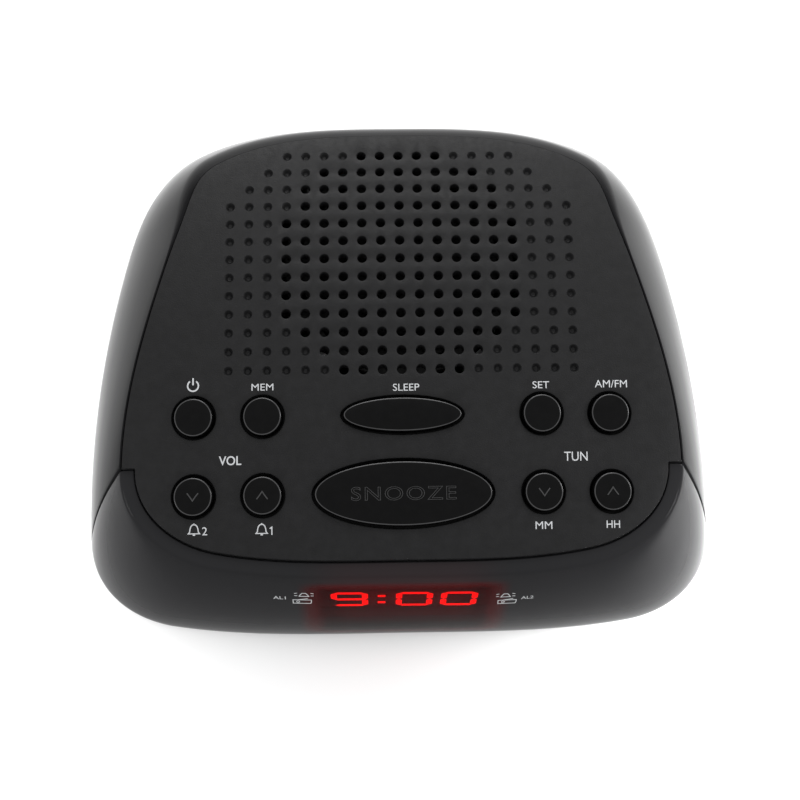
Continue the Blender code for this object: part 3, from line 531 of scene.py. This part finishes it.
def build_panel():
    # every feature is a stack of loops: the first lies in the top surface, the rest go down; (scale, depth)
    feats = []
    for x, y, is_open in GRILLE:
        if is_open:
            feats.append((x, y, [(HOLE_R + 0.22, HOLE_R + 0.22, 0.0), (HOLE_R + 0.07, HOLE_R + 0.07, 0.06),
                                 (HOLE_R, HOLE_R, 0.22), (HOLE_R, HOLE_R, PANEL_T)], 18, "open"))
        else:
            feats.append((x, y, [(HOLE_R + 0.02, HOLE_R + 0.02, 0.0), (HOLE_R - 0.12, HOLE_R - 0.12, 0.12),
                                 (HOLE_R - 0.32, HOLE_R - 0.32, 0.6), (HOLE_R * 0.42, HOLE_R * 0.42, 0.95),
                                 (HOLE_R * 0.2, HOLE_R * 0.2, 1.02)], 18, "blind"))
    for name, kx, row, rx, ry in KEYS:
        x, y, _ = key_place(kx, row)
        a, b = rx + 0.85, ry + 0.85
        feats.append((x, y, [(a + 0.35, (b + 0.35) * KCOS, 0.0), (a + 0.12, (b + 0.12) * KCOS, 0.07),
                             (a, b * KCOS, 0.3), (a, b * KCOS, PANEL_T)], 64 if rx < 5 else 128, "open"))
    top = panel_loop(0.35)
    verts, edges = [], []

    def add(loop):
        base = len(verts)
        verts.extend(Vector(p) for p in loop)
        edges.extend((base + k, base + (k + 1) % len(loop)) for k in range(len(loop)))
        return list(range(base, base + len(loop)))

    def inside(loop, cx, cy):
        odd = False
        for (x0, y0), (x1, y1) in zip(loop, loop[1:] + loop[:1]):
            if (y0 > cy) != (y1 > cy) and cx < (x1 - x0) * (cy - y0) / (y1 - y0) + x0:
                odd = not odd
        return odd

    def clear_of(ellipses, cx, cy, grow=0.0):
        return not any(((cx - c[0]) / (c[2] + grow)) ** 2 + ((cy - c[1]) / (c[3] + grow)) ** 2 < 1.0 for c in ellipses)

    def triangulate(made, keep):
        """Delaunay faces between the loops in verts; made maps an input vertex number to its mesh vertex."""
        v2, _, faces, origin, _, _ = delaunay_2d_cdt(verts, edges, [], 1, 1e-6)
        at = []
        for k, v in enumerate(v2):
            known = [made[i] for i in origin[k] if i in made]
            at.append(known[0] if known else bm.verts.new((v.x, v.y, crown(v.x, v.y))))
        for f in faces:
            cx, cy = sum(v2[k].x for k in f) / 3, sum(v2[k].y for k in f) / 3
            if keep(cx, cy):
                bm.faces.new([at[k] for k in f])

    bm = bmesh.new()
    rim_ids = add(top)
    loops, loop_ids = [], []
    for x, y, stack, n, kind in feats:
        loops.append(ring(x, y, stack[0][0], stack[0][1], n))
        loop_ids.append(add(loops[-1]))
    made = {i: bm.verts.new((verts[i].x, verts[i].y, crown(verts[i].x, verts[i].y))) for i in range(len(verts))}
    step = 3.0
    ovals = [(x, y, s[0][0], s[0][1]) for x, y, s, n, k in feats]
    for a in range(-24, 25):
        for b in range(-26, 14):
            x, y = a * step, b * step * 0.98
            if inside(top, x, y) and min((x - p[0]) ** 2 + (y - p[1]) ** 2 for p in top) > 2.2 and clear_of(ovals, x, y, 0.5):
                verts.append(Vector((x, y)))
    triangulate(made, lambda cx, cy: inside(top, cx, cy) and clear_of(ovals, cx, cy))
    bottoms = []
    for (x, y, stack, n, kind), ids in zip(feats, loop_ids):
        nn = panel_normal(x, y)
        prev = [made[i] for i in ids]
        for rx, ry, depth in stack[1:]:
            nxt = []
            for px, py in ring(x, y, rx, ry, n):
                q = Vector((px, py, crown(px, py)))
                nxt.append(bm.verts.new(q - Vector((0, 0, depth)) if kind == "open" and depth >= 1.5 else q - nn * depth))
            for k in range(n):
                j = (k + 1) % n
                bm.faces.new((prev[k], prev[j], nxt[j], nxt[k]))
            prev = nxt
        if kind == "blind":
            bm.faces.new(prev)
        else:
            bottoms.append(prev)
    # rounded rim, outer wall and underside
    prev = [made[i] for i in rim_ids]
    for inset, depth in ((0.12, 0.05), (0.0, 0.28), (0.0, PANEL_T)):
        loop = panel_loop(inset)
        nxt = [bm.verts.new((px, py, crown(px, py) - depth)) for px, py in loop]
        for k in range(len(loop)):
            j = (k + 1) % len(loop)
            bm.faces.new((prev[k], prev[j], nxt[j], nxt[k]))
        prev = nxt
    verts, edges = [], []
    under = {}
    for loop in [prev] + bottoms:
        for i, v in zip(add([(v.co.x, v.co.y) for v in loop]), loop):
            under[i] = v
    rim = [(v.co.x, v.co.y) for v in prev]
    open_ovals = [(x, y, s[-1][0], s[-1][1]) for x, y, s, n, k in feats if k == "open"]
    triangulate(under, lambda cx, cy: inside(rim, cx, cy) and clear_of(open_ovals, cx, cy))
    loose = [v for v in bm.verts if not v.link_faces]
    bmesh.ops.delete(bm, geom=loose, context="VERTS")
    return finish("top_panel_visual", bm, M_MATT, "case", 28)


panel = build_panel()
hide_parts("top_panel")


# ---------------------------------------------------------------- keys
def key_frame(kx, row):
    """Matrix from a key's own frame (mm) to the design frame."""
    return Matrix.Translation(key_place(kx, row)) @ Matrix.Rotation(math.radians(KEY_TILT), 4, "X")


def build_key(name, kx, row, rx, ry):
    big = rx > 5
    n = 72 if not big else 144
    # gap edge, cheek, rolled edge, then a slight dish on the round keys and a slight dome on the long ones
    drop = KEY_Z + row * KSIN - key_place(kx, row)[2]
    stem = KEY_BOARD + SWITCH_H + drop * KCOS + KEY_TRAVEL + 0.3
    prof = [(1.5, 1.5, stem), (1.8, 1.8, stem + 0.3), (1.8, 1.8, -PANEL_T - 1.65), (rx + 1.9, ry + 1.9, -PANEL_T - 1.65), (rx + 1.9, ry + 1.9, -PANEL_T - 0.65),
            (rx + 0.3, ry + 0.3, -PANEL_T - 0.65), (rx + 0.2, ry + 0.2, -0.4), (rx + 0.1, ry + 0.1, 0.95),
            (rx + 0.06, ry + 0.06, 1.1), (rx - 0.01, ry - 0.01, 1.2), (rx - 0.11, ry - 0.11, 1.26), (rx - 0.24, ry - 0.24, 1.28)]
    hi = 1.62 if big else 1.40
    for t in (0.85, 0.7, 0.5, 0.3, 0.12):
        prof.append(((rx - 0.24) * t, (ry - 0.24) * t, 1.28 + (hi - 1.28) * (1 - t * t)))
    mat = key_frame(kx, row)
    bm = bmesh.new()
    rings = [[bm.verts.new(mat @ Vector((a * math.cos(2 * math.pi * k / n), b * math.sin(2 * math.pi * k / n), z))) for k in range(n)]
             for a, b, z in prof]
    for i, (p, q) in enumerate(zip(rings, rings[1:])):
        for k in range(n):
            j = (k + 1) % n
            # faces 9 and 10, the rolled edge on top, take the lighter material: a painted highlight
            bm.faces.new((p[k], p[j], q[j], q[k])).material_index = 1 if i in (9, 10) else 0
    bm.faces.new(rings[0])
    bm.faces.new(rings[-1])
    o = finish(f"{name}_key_visual", bm, [M_KEY, M_EDGE_HIGHLIGHT], f"{name}_key", 40)
    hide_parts(f"{name}_key")
    return o


for args in KEYS:
    build_key(*args)


# ---------------------------------------------------------------- lettering and marks
def text_outline(text, height, width, bold=0.0):
    """Flat mesh of a word in the built-in font, scaled to a cap height and width in mm, centred. Returns verts, faces."""
    cu = bpy.data.curves.new("word", "FONT")
    cu.body = text
    cu.size = 10.0
    cu.offset = bold
    cu.resolution_u = 4
    ob = bpy.data.objects.new("word", cu)
    bpy.context.scene.collection.objects.link(ob)
    bpy.context.view_layer.update()
    me = bpy.data.meshes.new_from_object(ob.evaluated_get(bpy.context.evaluated_depsgraph_get()))
    bpy.data.objects.remove(ob)
    vs = [Vector((v.co.x, v.co.y)) for v in me.vertices]
    fs = [tuple(p.vertices) for p in me.polygons]
    lo = Vector((min(v.x for v in vs), min(v.y for v in vs)))
    hi = Vector((max(v.x for v in vs), max(v.y for v in vs)))
    sx = width / (hi.x - lo.x) if width else height / (hi.y - lo.y)
    sy = height / (hi.y - lo.y)
    mid = (lo + hi) / 2
    bpy.data.meshes.remove(me)
    return [Vector(((v.x - mid.x) * sx, (v.y - mid.y) * sy)) for v in vs], fs


def stroke(points, w, closed=False):
    """Flat ribbon of width w along points. Returns verts, faces."""
    n = len(points)
    pts = [Vector(p) for p in points]
    vs, fs = [], []
    for k in range(n):
        a = pts[k - 1] if (k > 0 or closed) else pts[k]
        b = pts[(k + 1) % n] if (k < n - 1 or closed) else pts[k]
        da = (pts[k] - a).normalized() if (pts[k] - a).length else (b - pts[k]).normalized()
        db = (b - pts[k]).normalized() if (b - pts[k]).length else da
        t = (da + db).normalized()
        nrm = Vector((-t.y, t.x))
        m = w / 2 / max(0.5, nrm.dot(Vector((-da.y, da.x))))
        vs += [pts[k] + nrm * m, pts[k] - nrm * m]
    for k in range(n if closed else n - 1):
        j = (k + 1) % n
        fs.append((2 * k, 2 * k + 1, 2 * j + 1, 2 * j))
    return vs, fs


def arc(cx, cy, r, a0, a1, n=20):
    return [(cx + r * math.cos(math.radians(a0 + (a1 - a0) * k / n)), cy + r * math.sin(math.radians(a0 + (a1 - a0) * k / n))) for k in range(n + 1)]


def join(*parts):
    """parts: (verts, faces, dx, dy)."""
    vs, fs = [], []
    for v, f, dx, dy in parts:
        base = len(vs)
        vs += [p + Vector((dx, dy)) for p in v]
        fs += [tuple(base + k for k in q) for q in f]
    return vs, fs


def relief(name, flat, put, height, mat, body, sink=0.05):
    """A closed raised shape from a flat one. put(u, v, w) gives the design-frame point w above the surface."""
    vs, fs = flat
    bm = bmesh.new()
    up = [bm.verts.new(put(v.x, v.y, height)) for v in vs]
    down = [bm.verts.new(put(v.x, v.y, -sink)) for v in vs]
    border = {}
    for f in fs:
        if len(set(f)) < 3:
            continue
        try:
            bm.faces.new([up[k] for k in f])
            bm.faces.new([down[k] for k in reversed(f)])
        except ValueError:
            continue
        for a, b in zip(f, f[1:] + f[:1]):
            border[(a, b)] = True
    for a, b in border:
        if (b, a) not in border:
            bm.faces.new((up[b], up[a], down[a], down[b]))
    loose = [v for v in bm.verts if not v.link_faces]
    bmesh.ops.delete(bm, geom=loose, context="VERTS")
    return finish(name, bm, mat, body, 30)


def on_panel(x, y):
    def put(u, v, w):
        px, py = x + u, y + v * math.cos(math.radians(9))
        return Vector((px, py, crown(px, py))) + panel_normal(px, py) * w
    return put


def bell():
    body = [(-1.35, -0.95), (-1.02, -0.55), (-0.92, 0.15), (-0.72, 0.75), (-0.3, 1.12), (0.3, 1.12), (0.72, 0.75), (0.92, 0.15),
            (1.02, -0.55), (1.35, -0.95)]
    return join((*stroke(body, 0.26, closed=True), 0, 0), (*stroke([(-0.28, -1.25), (0.28, -1.25)], 0.3), 0, 0),
                (*stroke([(0, 1.1), (0, 1.42)], 0.3), 0, 0))


def power_icon():
    return join((*stroke(arc(0, 0, 1.28, 125, 415, 30), 0.36), 0, 0), (*stroke([(0, 0.15), (0, 1.85)], 0.36), 0, 0))


LABELS = [("power", power_icon(), -49.7, -30.6), ("mem", text_outline("MEM", 1.62, 5.2), -33.2, -31.2),
          ("sleep", text_outline("SLEEP", 1.7, 6.3), 0.95, -31.7), ("set", text_outline("SET", 1.7, 4.0), 33.2, -31.4),
          ("am_fm", text_outline("AM/FM", 1.8, 7.8), 50.1, -31.2), ("vol", text_outline("VOL", 2.15, 5.3, 0.12), -40.85, -48.2),
          ("tun", text_outline("TUN", 2.15, 5.6), 41.1, -48.2), ("mm", text_outline("MM", 1.75, 4.0), 33.05, -64.0),
          ("hh", text_outline("HH", 1.75, 3.2), 49.6, -63.9),
          ("bell_2", join((*bell(), -0.75, 0.1), (*text_outline("2", 1.85, 1.2), 1.75, -0.3)), -48.6, -63.9),
          ("bell_1", join((*bell(), -0.75, 0.1), (*stroke([(-0.4, 0.5), (0.08, 0.86), (0.08, -0.92)], 0.28), 1.55, -0.3)), -32.7, -64.1)]
for name, flat, x, y in LABELS:
    relief(f"print_{name}", flat, on_panel(x, y), 0.025, M_PRINT, "case", 0.03)


def on_key(kx, row, top):
    m = key_frame(kx, row)

    def put(u, v, w):
        return m @ Vector((u, v, top(u, v) + w))
    return put


def round_top(u, v):
    t = min(1.0, math.hypot(u, v) / 4.16)
    return 1.28 + 0.12 * (1 - t * t)


def long_top(u, v, rx=20.8, ry=7.45):
    t2 = min(1.0, (u / (rx - 0.24)) ** 2 + (v / (ry - 0.24)) ** 2)
    return 1.28 + 0.34 * (1 - t2)


for name, kx, up in (("volume_down", -49.5, -1), ("volume_up", -33.2, 1), ("tune_down", 33.2, -1), ("tune_up", 49.5, 1)):
    chevron = stroke([(-1.3, -0.85 * up), (-0.65, 0.0), (0, 0.95 * up), (0.65, 0.0), (1.3, -0.85 * up)], 0.28)
    # the chevrons take key plastic painted lighter: a painted highlight on their raised edges
    relief(f"{name}_chevron", chevron, on_key(kx, -KEY_ROW, round_top), 0.12, M_MARK_HIGHLIGHT, f"{name}_key")


def raised_outline(name, text, height, width, thick, put, mat, body):
    """The outlines of a word as a fine raised bead."""
    cu = bpy.data.curves.new("word", "FONT")
    cu.body, cu.size, cu.resolution_u, cu.space_character = text, 10.0, 5, 1.16
    cu.fill_mode = "NONE"
    cu.bevel_depth, cu.bevel_resolution = 0.19, 1
    ob = bpy.data.objects.new("word", cu)
    bpy.context.scene.collection.objects.link(ob)
    bpy.context.view_layer.update()
    me = bpy.data.meshes.new_from_object(ob.evaluated_get(bpy.context.evaluated_depsgraph_get()))
    bpy.data.objects.remove(ob)
    bm = bmesh.new()
    bm.from_mesh(me)
    bpy.data.meshes.remove(me)
    lo = [min(v.co[k] for v in bm.verts) for k in (0, 1)]
    hi = [max(v.co[k] for v in bm.verts) for k in (0, 1)]
    sx, sy = width / (hi[0] - lo[0]), height / (hi[1] - lo[1])
    for v in bm.verts:
        v.co = put((v.co.x - (lo[0] + hi[0]) / 2) * sx, (v.co.y - (lo[1] + hi[1]) / 2) * sy, v.co.z / 0.19 * thick)
    return finish(name, bm, mat, body, 50)


# the word takes key plastic painted lighter: a painted highlight on the raised bead
raised_outline("snooze_word", "SNOOZE", 3.3, 24.8, 0.11, on_key(0.0, -KEY_ROW, long_top), M_WORD_HIGHLIGHT, "snooze_key")

# ---------------------------------------------------------------- display digits
DT = math.radians(DISPLAY_TILT)


def on_display(u, v, w):
    """u across, v up the display face, w out of it."""
    return Vector((u, DISPLAY_Y + v * math.sin(DT) - w * math.cos(DT), DISPLAY_Z + v * math.cos(DT) + w * math.sin(DT)))


def digit(segments, cx, cy, w, h, t, lean=0.0):
    g, parts = 0.16, []
    x0, x1 = -w / 2 + t / 2, w / 2 - t / 2
    y0, y1 = -h / 2 + t / 2, h / 2 - t / 2

    def bar(ax, ay, bx, by):
        d = Vector((bx - ax, by - ay))
        L = d.length
        d.normalize()
        n = Vector((-d.y, d.x))
        a, b = Vector((ax, ay)) + d * g, Vector((bx, by)) - d * g
        k = t / 2
        vs = [a, a + d * k + n * k, b - d * k + n * k, b, b - d * k - n * k, a + d * k - n * k]
        return [v + Vector((v.y * lean, 0)) for v in vs], [(0, 5, 4, 3, 2, 1)]

    where = {"a": (x0, y1, x1, y1), "b": (x1, 0, x1, y1), "c": (x1, y0, x1, 0), "d": (x0, y0, x1, y0),
             "e": (x0, y0, x0, 0), "f": (x0, 0, x0, y1), "g": (x0, 0, x1, 0)}
    for s in segments:
        parts.append((*bar(*where[s]), cx, cy))
    return join(*parts)


DIGIT_H, DIGIT_W, SEG = 12.4, 9.1, 1.5
DIGIT_MID = -0.8
DIGIT_FALL = 0.03        # the row drops this much per millimetre to the right
lit = [digit("abcdfg", -13.3, DIGIT_MID, DIGIT_W, DIGIT_H, SEG), digit("abcdef", 2.7, DIGIT_MID, DIGIT_W, DIGIT_H, SEG),
       digit("abcdef", 13.8, DIGIT_MID, DIGIT_W, DIGIT_H, SEG)]
dot = [Vector((-0.95, -0.8)), Vector((0.95, -0.8)), Vector((0.95, 0.8)), Vector((-0.95, 0.8))]
lit.append(join((dot, [(0, 1, 2, 3)], -5.4, DIGIT_MID + 2.9), (dot, [(0, 1, 2, 3)], -5.4, DIGIT_MID - 2.9)))
lit = [([Vector((p.x, p.y - p.x * DIGIT_FALL)) for p in v], f) for v, f in lit]
relief("display_digits", join(*[(v, f, 0, 0) for v, f in lit]), on_display, 0.04, M_LIT, "case", 0.02)

# ---------------------------------------------------------------- marks printed on the lens
bpy.context.view_layer.update()
lens_bm = bmesh.new()
lens_bm.from_mesh(lens.data)
lens_tree = BVHTree.FromBMesh(lens_bm)


def on_lens(x, z):
    def put(u, v, w):
        hit, nrm, _, _ = lens_tree.ray_cast(Vector(((x + u) * MM, -0.2, (z + v) * MM)), Vector((0, 1, 0)))
        q = (hit + nrm * (w * MM)) / MM
        return Vector((q.x, q.y - SHIFT_Y, q.z))
    return put


def radio_icon():
    return join((*stroke([(-2.2, -0.85), (2.0, -0.85), (2.2, -0.3), (2.2, 0.45), (-2.2, 0.45)], 0.2, True), 0, 0),
                (*stroke([(-1.2, 0.45), (1.4, 0.95)], 0.18), 0, 0), (*stroke(arc(-1.0, -0.2, 0.34, 0, 360, 14)[:-1], 0.16, True), 0, 0))


def ring_icon():
    return join((*stroke([(-1.15, -0.5), (-0.8, 0.1), (-0.45, 0.55), (0.45, 0.55), (0.8, 0.1), (1.15, -0.5)], 0.2, True), 0, 0),
                (*stroke([(-2.3, 0.45), (-1.6, 0.6)], 0.18), 0, 0), (*stroke([(2.3, 0.45), (1.6, 0.6)], 0.18), 0, 0),
                (*stroke([(-2.3, -0.3), (-1.6, -0.3)], 0.18), 0, 0), (*stroke([(2.3, -0.3), (1.6, -0.3)], 0.18), 0, 0))


for n, word_x, bell_x, radio_x, fall in ((1, -29.9, -24.0, -24.5, 0.0), (2, 29.75, 24.4, 24.9, 1.3)):
    relief(f"print_al{n}", text_outline(f"AL{n}", 1.0, 3.0), on_lens(word_x, 24.6 - fall), 0.02, M_PRINT, "case", 0.02)
    relief(f"print_wake_bell_{n}", ring_icon(), on_lens(bell_x, 25.8 - fall), 0.02, M_PRINT, "case", 0.02)
    relief(f"print_wake_radio_{n}", radio_icon(), on_lens(radio_x, 23.6 - fall), 0.02, M_PRINT, "case", 0.02)
lens_bm.free()

# ---------------------------------------------------------------- cord gland in its hole
def turned(rings, n):
    bm = bmesh.new()
    loops = [[bm.verts.new((r * math.cos(2 * math.pi * k / n), r * math.sin(2 * math.pi * k / n), z)) for k in range(n)] for r, z in rings]
    for a, b in zip(loops, loops[1:] + loops[:1]):
        for k in range(n):
            bm.faces.new((a[k], a[(k + 1) % n], b[(k + 1) % n], b[k]))
    return bm


GLAND_X, GLAND_Z = 24.0, 11.2
i_back = min(range(SEAM_C, LAST + 1), key=lambda k: abs(FOOT_C[k].x - GLAND_X) + (0 if EDGE_C[k].y > 20 else 99))
zt_b = crown(EDGE_C[i_back].x, EDGE_C[i_back].y) - 0.25
at, below, above = (outer(i_back, GLAND_Z + dz, zt_b, EDGE_C[i_back], FOOT_C[i_back]) for dz in (0.0, -3.0, 3.0))
lean = math.atan2((below - above).length, 6.0)
nb = raw_normal(i_back)
out_way = Vector((-nb.x * math.cos(lean), -nb.y * math.cos(lean), math.sin(lean)))
gland_at = Matrix.Translation((at.x, at.y, GLAND_Z)) @ out_way.to_track_quat("Z", "Y").to_matrix().to_4x4()
bm = turned([(0.02, -7.0), (4.2, -7.0), (4.2, 6.0), (0.02, 6.0)], 48)
bm.transform(gland_at)
cutter = finish("gland_cutter", bm, M_GLOSS, "case")
cut = cabinet.modifiers.new("gland_hole", "BOOLEAN")
cut.operation, cut.solver, cut.object = "DIFFERENCE", "EXACT", cutter
bpy.context.view_layer.update()
drilled = bpy.data.meshes.new_from_object(cabinet.evaluated_get(bpy.context.evaluated_depsgraph_get()))
cabinet.modifiers.remove(cut)
cabinet.data = drilled
bpy.data.objects.remove(cutter)
bm = turned([(3.9, -3.4), (3.9, -0.2), (4.05, -0.1), (5.0, 0.12), (5.1, 0.2), (5.1, 0.32), (4.9, 0.46), (3.2, 0.5), (2.9, 0.3), (2.3, -0.4), (2.3, -3.4)], 64)
bm.transform(gland_at)
gland = finish("cord_gland_visual", bm, M_RUBBER, "case", 30)
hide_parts("cord_gland")

# ---------------------------------------------------------------- feet, finely turned
for place in ("front_left", "front_right", "back_left", "back_right"):
    (x0, y0, z0), (x1, y1, z1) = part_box(f"foot_{place}")
    mid = ((x0 + x1) / 2 / MM, (y0 + y1) / 2 / MM - SHIFT_Y)
    rf, top = (x1 - x0) / 2 / MM, z1 / MM
    bm = bmesh.new()
    prof = [(rf * 0.35, 0.12), (rf * 0.5, 0.02), (rf * 0.62, 0.0), (rf - 0.75, 0.0), (rf - 0.35, 0.08), (rf - 0.1, 0.3), (rf, 0.6), (rf, top)]
    loops = [[bm.verts.new((mid[0] + r * math.cos(math.pi * k / 32), mid[1] + r * math.sin(math.pi * k / 32), z)) for k in range(64)] for r, z in prof]
    for a, b in zip(loops, loops[1:]):
        for k in range(64):
            bm.faces.new((a[k], a[(k + 1) % 64], b[(k + 1) % 64], b[k]))
    bm.faces.new(loops[0])
    bm.faces.new(loops[-1])
    foot = finish(f"foot_{place}_visual", bm, M_RUBBER, "case", 30)
    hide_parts(f"foot_{place}")

# ---------------------------------------------------------------- CAD nodes that stay: materials and rounded edges
LOOKS = {"bottom_cover": M_BASE, "battery_door": M_BASE, "key_board": M_BOARD, "display_board": M_BOARD, "main_board": M_BOARD,
         "led_display": M_LED, "speaker_frame": M_DARKSTEEL, "speaker_cone": M_FELT, "speaker_magnet": M_FERRITE,
         "speaker_gasket": M_RUBBER, "tuner_shield_can": M_STEEL, "amplifier_chip": M_SWITCH, "filter_capacitor": M_BLUE,
         "transformer_core": M_STEEL, "transformer_coil": M_COPPER, "ferrite_rod": M_FERRITE, "antenna_coil": M_COPPER,
         "battery_contact_negative": M_STEEL, "battery_contact_positive": M_STEEL, "cord_gland": M_RUBBER}
for name, o in NODES.items():
    mat = LOOKS.get(name)
    if mat is None:
        mat = M_RUBBER if name.startswith("foot_") else M_SWITCH if name.endswith("_switch") else M_STEEL if "screw" in name else M_KEY
    o.data.materials.clear()
    o.data.materials.append(mat)
    if not o.hide_render:
        bevel = o.modifiers.new("soft_edges", "BEVEL")
        bevel.width, bevel.segments, bevel.limit_method, bevel.angle_limit = 0.00018, 2, "ANGLE", math.radians(50)

# ---------------------------------------------------------------- floor, light, camera
fbm = bmesh.new()
bmesh.ops.create_grid(fbm, x_segments=2, y_segments=2, size=3.0)
fme = bpy.data.meshes.new("floor")
fbm.to_mesh(fme)
fbm.free()
floor = bpy.data.objects.new("floor", fme)
bpy.context.scene.collection.objects.link(floor)
fm = bpy.data.materials.new("floor_pale")
fm.use_nodes = True
fm.node_tree.nodes["Principled BSDF"].inputs["Base Color"].default_value = (0.91, 0.91, 0.91, 1)
fm.node_tree.nodes["Principled BSDF"].inputs["Roughness"].default_value = 0.9
fm.node_tree.nodes["Principled BSDF"].inputs["Specular IOR Level"].default_value = 0.0
# one-sided, so that the underside of the object shows from beneath
ft = fm.node_tree
facing = ft.nodes.new("ShaderNodeNewGeometry")
clear = ft.nodes.new("ShaderNodeBsdfTransparent")
either = ft.nodes.new("ShaderNodeMixShader")
ft.links.new(facing.outputs["Backfacing"], either.inputs["Fac"])
ft.links.new(ft.nodes["Principled BSDF"].outputs["BSDF"], either.inputs[1])
ft.links.new(clear.outputs["BSDF"], either.inputs[2])
ft.links.new(either.outputs["Shader"], ft.nodes["Material Output"].inputs["Surface"])
fme.materials.append(fm)

world = bpy.data.worlds.new("studio")
bpy.context.scene.world = world
world.use_nodes = True
wt = world.node_tree
back = wt.nodes["Background"]
back.inputs["Color"].default_value = (1.0, 1.0, 1.0, 1)
back.inputs["Strength"].default_value = 1.1


def softbox(name, where, at, size, power, spread=180.0):
    d = bpy.data.lights.new(name, "AREA")
    d.shape, d.size, d.energy, d.spread = "SQUARE", size, power, math.radians(spread)
    o = bpy.data.objects.new(name, d)
    o.location = where
    o.rotation_euler = (Vector(at) - Vector(where)).to_track_quat("-Z", "Y").to_euler()
    bpy.context.scene.collection.objects.link(o)


softbox("key_right", (0.50, 0.12, 0.30), (0.20, -0.02, 0), 0.3, 0.3)
softbox("side_right", (0.30, 0.0, 0.16), (0.13, -0.05, 0), 0.10, 0.12, 90)
softbox("corner_right", (0.27, -0.14, 0.14), (0.14, -0.08, 0), 0.06, 0.16, 34)
softbox("corner_left", (-0.27, -0.13, 0.14), (-0.14, -0.07, 0), 0.06, 0.05, 36)
softbox("behind", (0.0, 0.42, 0.30), (0.0, 0.16, 0), 0.4, 1.1, 120)

cam_data = bpy.data.cameras.new("camera")
cam = bpy.data.objects.new("camera", cam_data)
bpy.context.scene.collection.objects.link(cam)
cam.location = (-0.007487, (-122.925 + SHIFT_Y) * MM, 0.307471)
cam.rotation_euler = Euler((math.radians(18.3923), math.radians(-1.1352), math.radians(-1.0911)), "XYZ")
cam_data.sensor_width = 36.0
cam_data.lens = 52.98
cam_data.clip_start, cam_data.clip_end = 0.01, 20.0
bpy.context.scene.camera = cam
bpy.context.scene.view_settings.view_transform = "Standard"

bpy.context.view_layer.update()
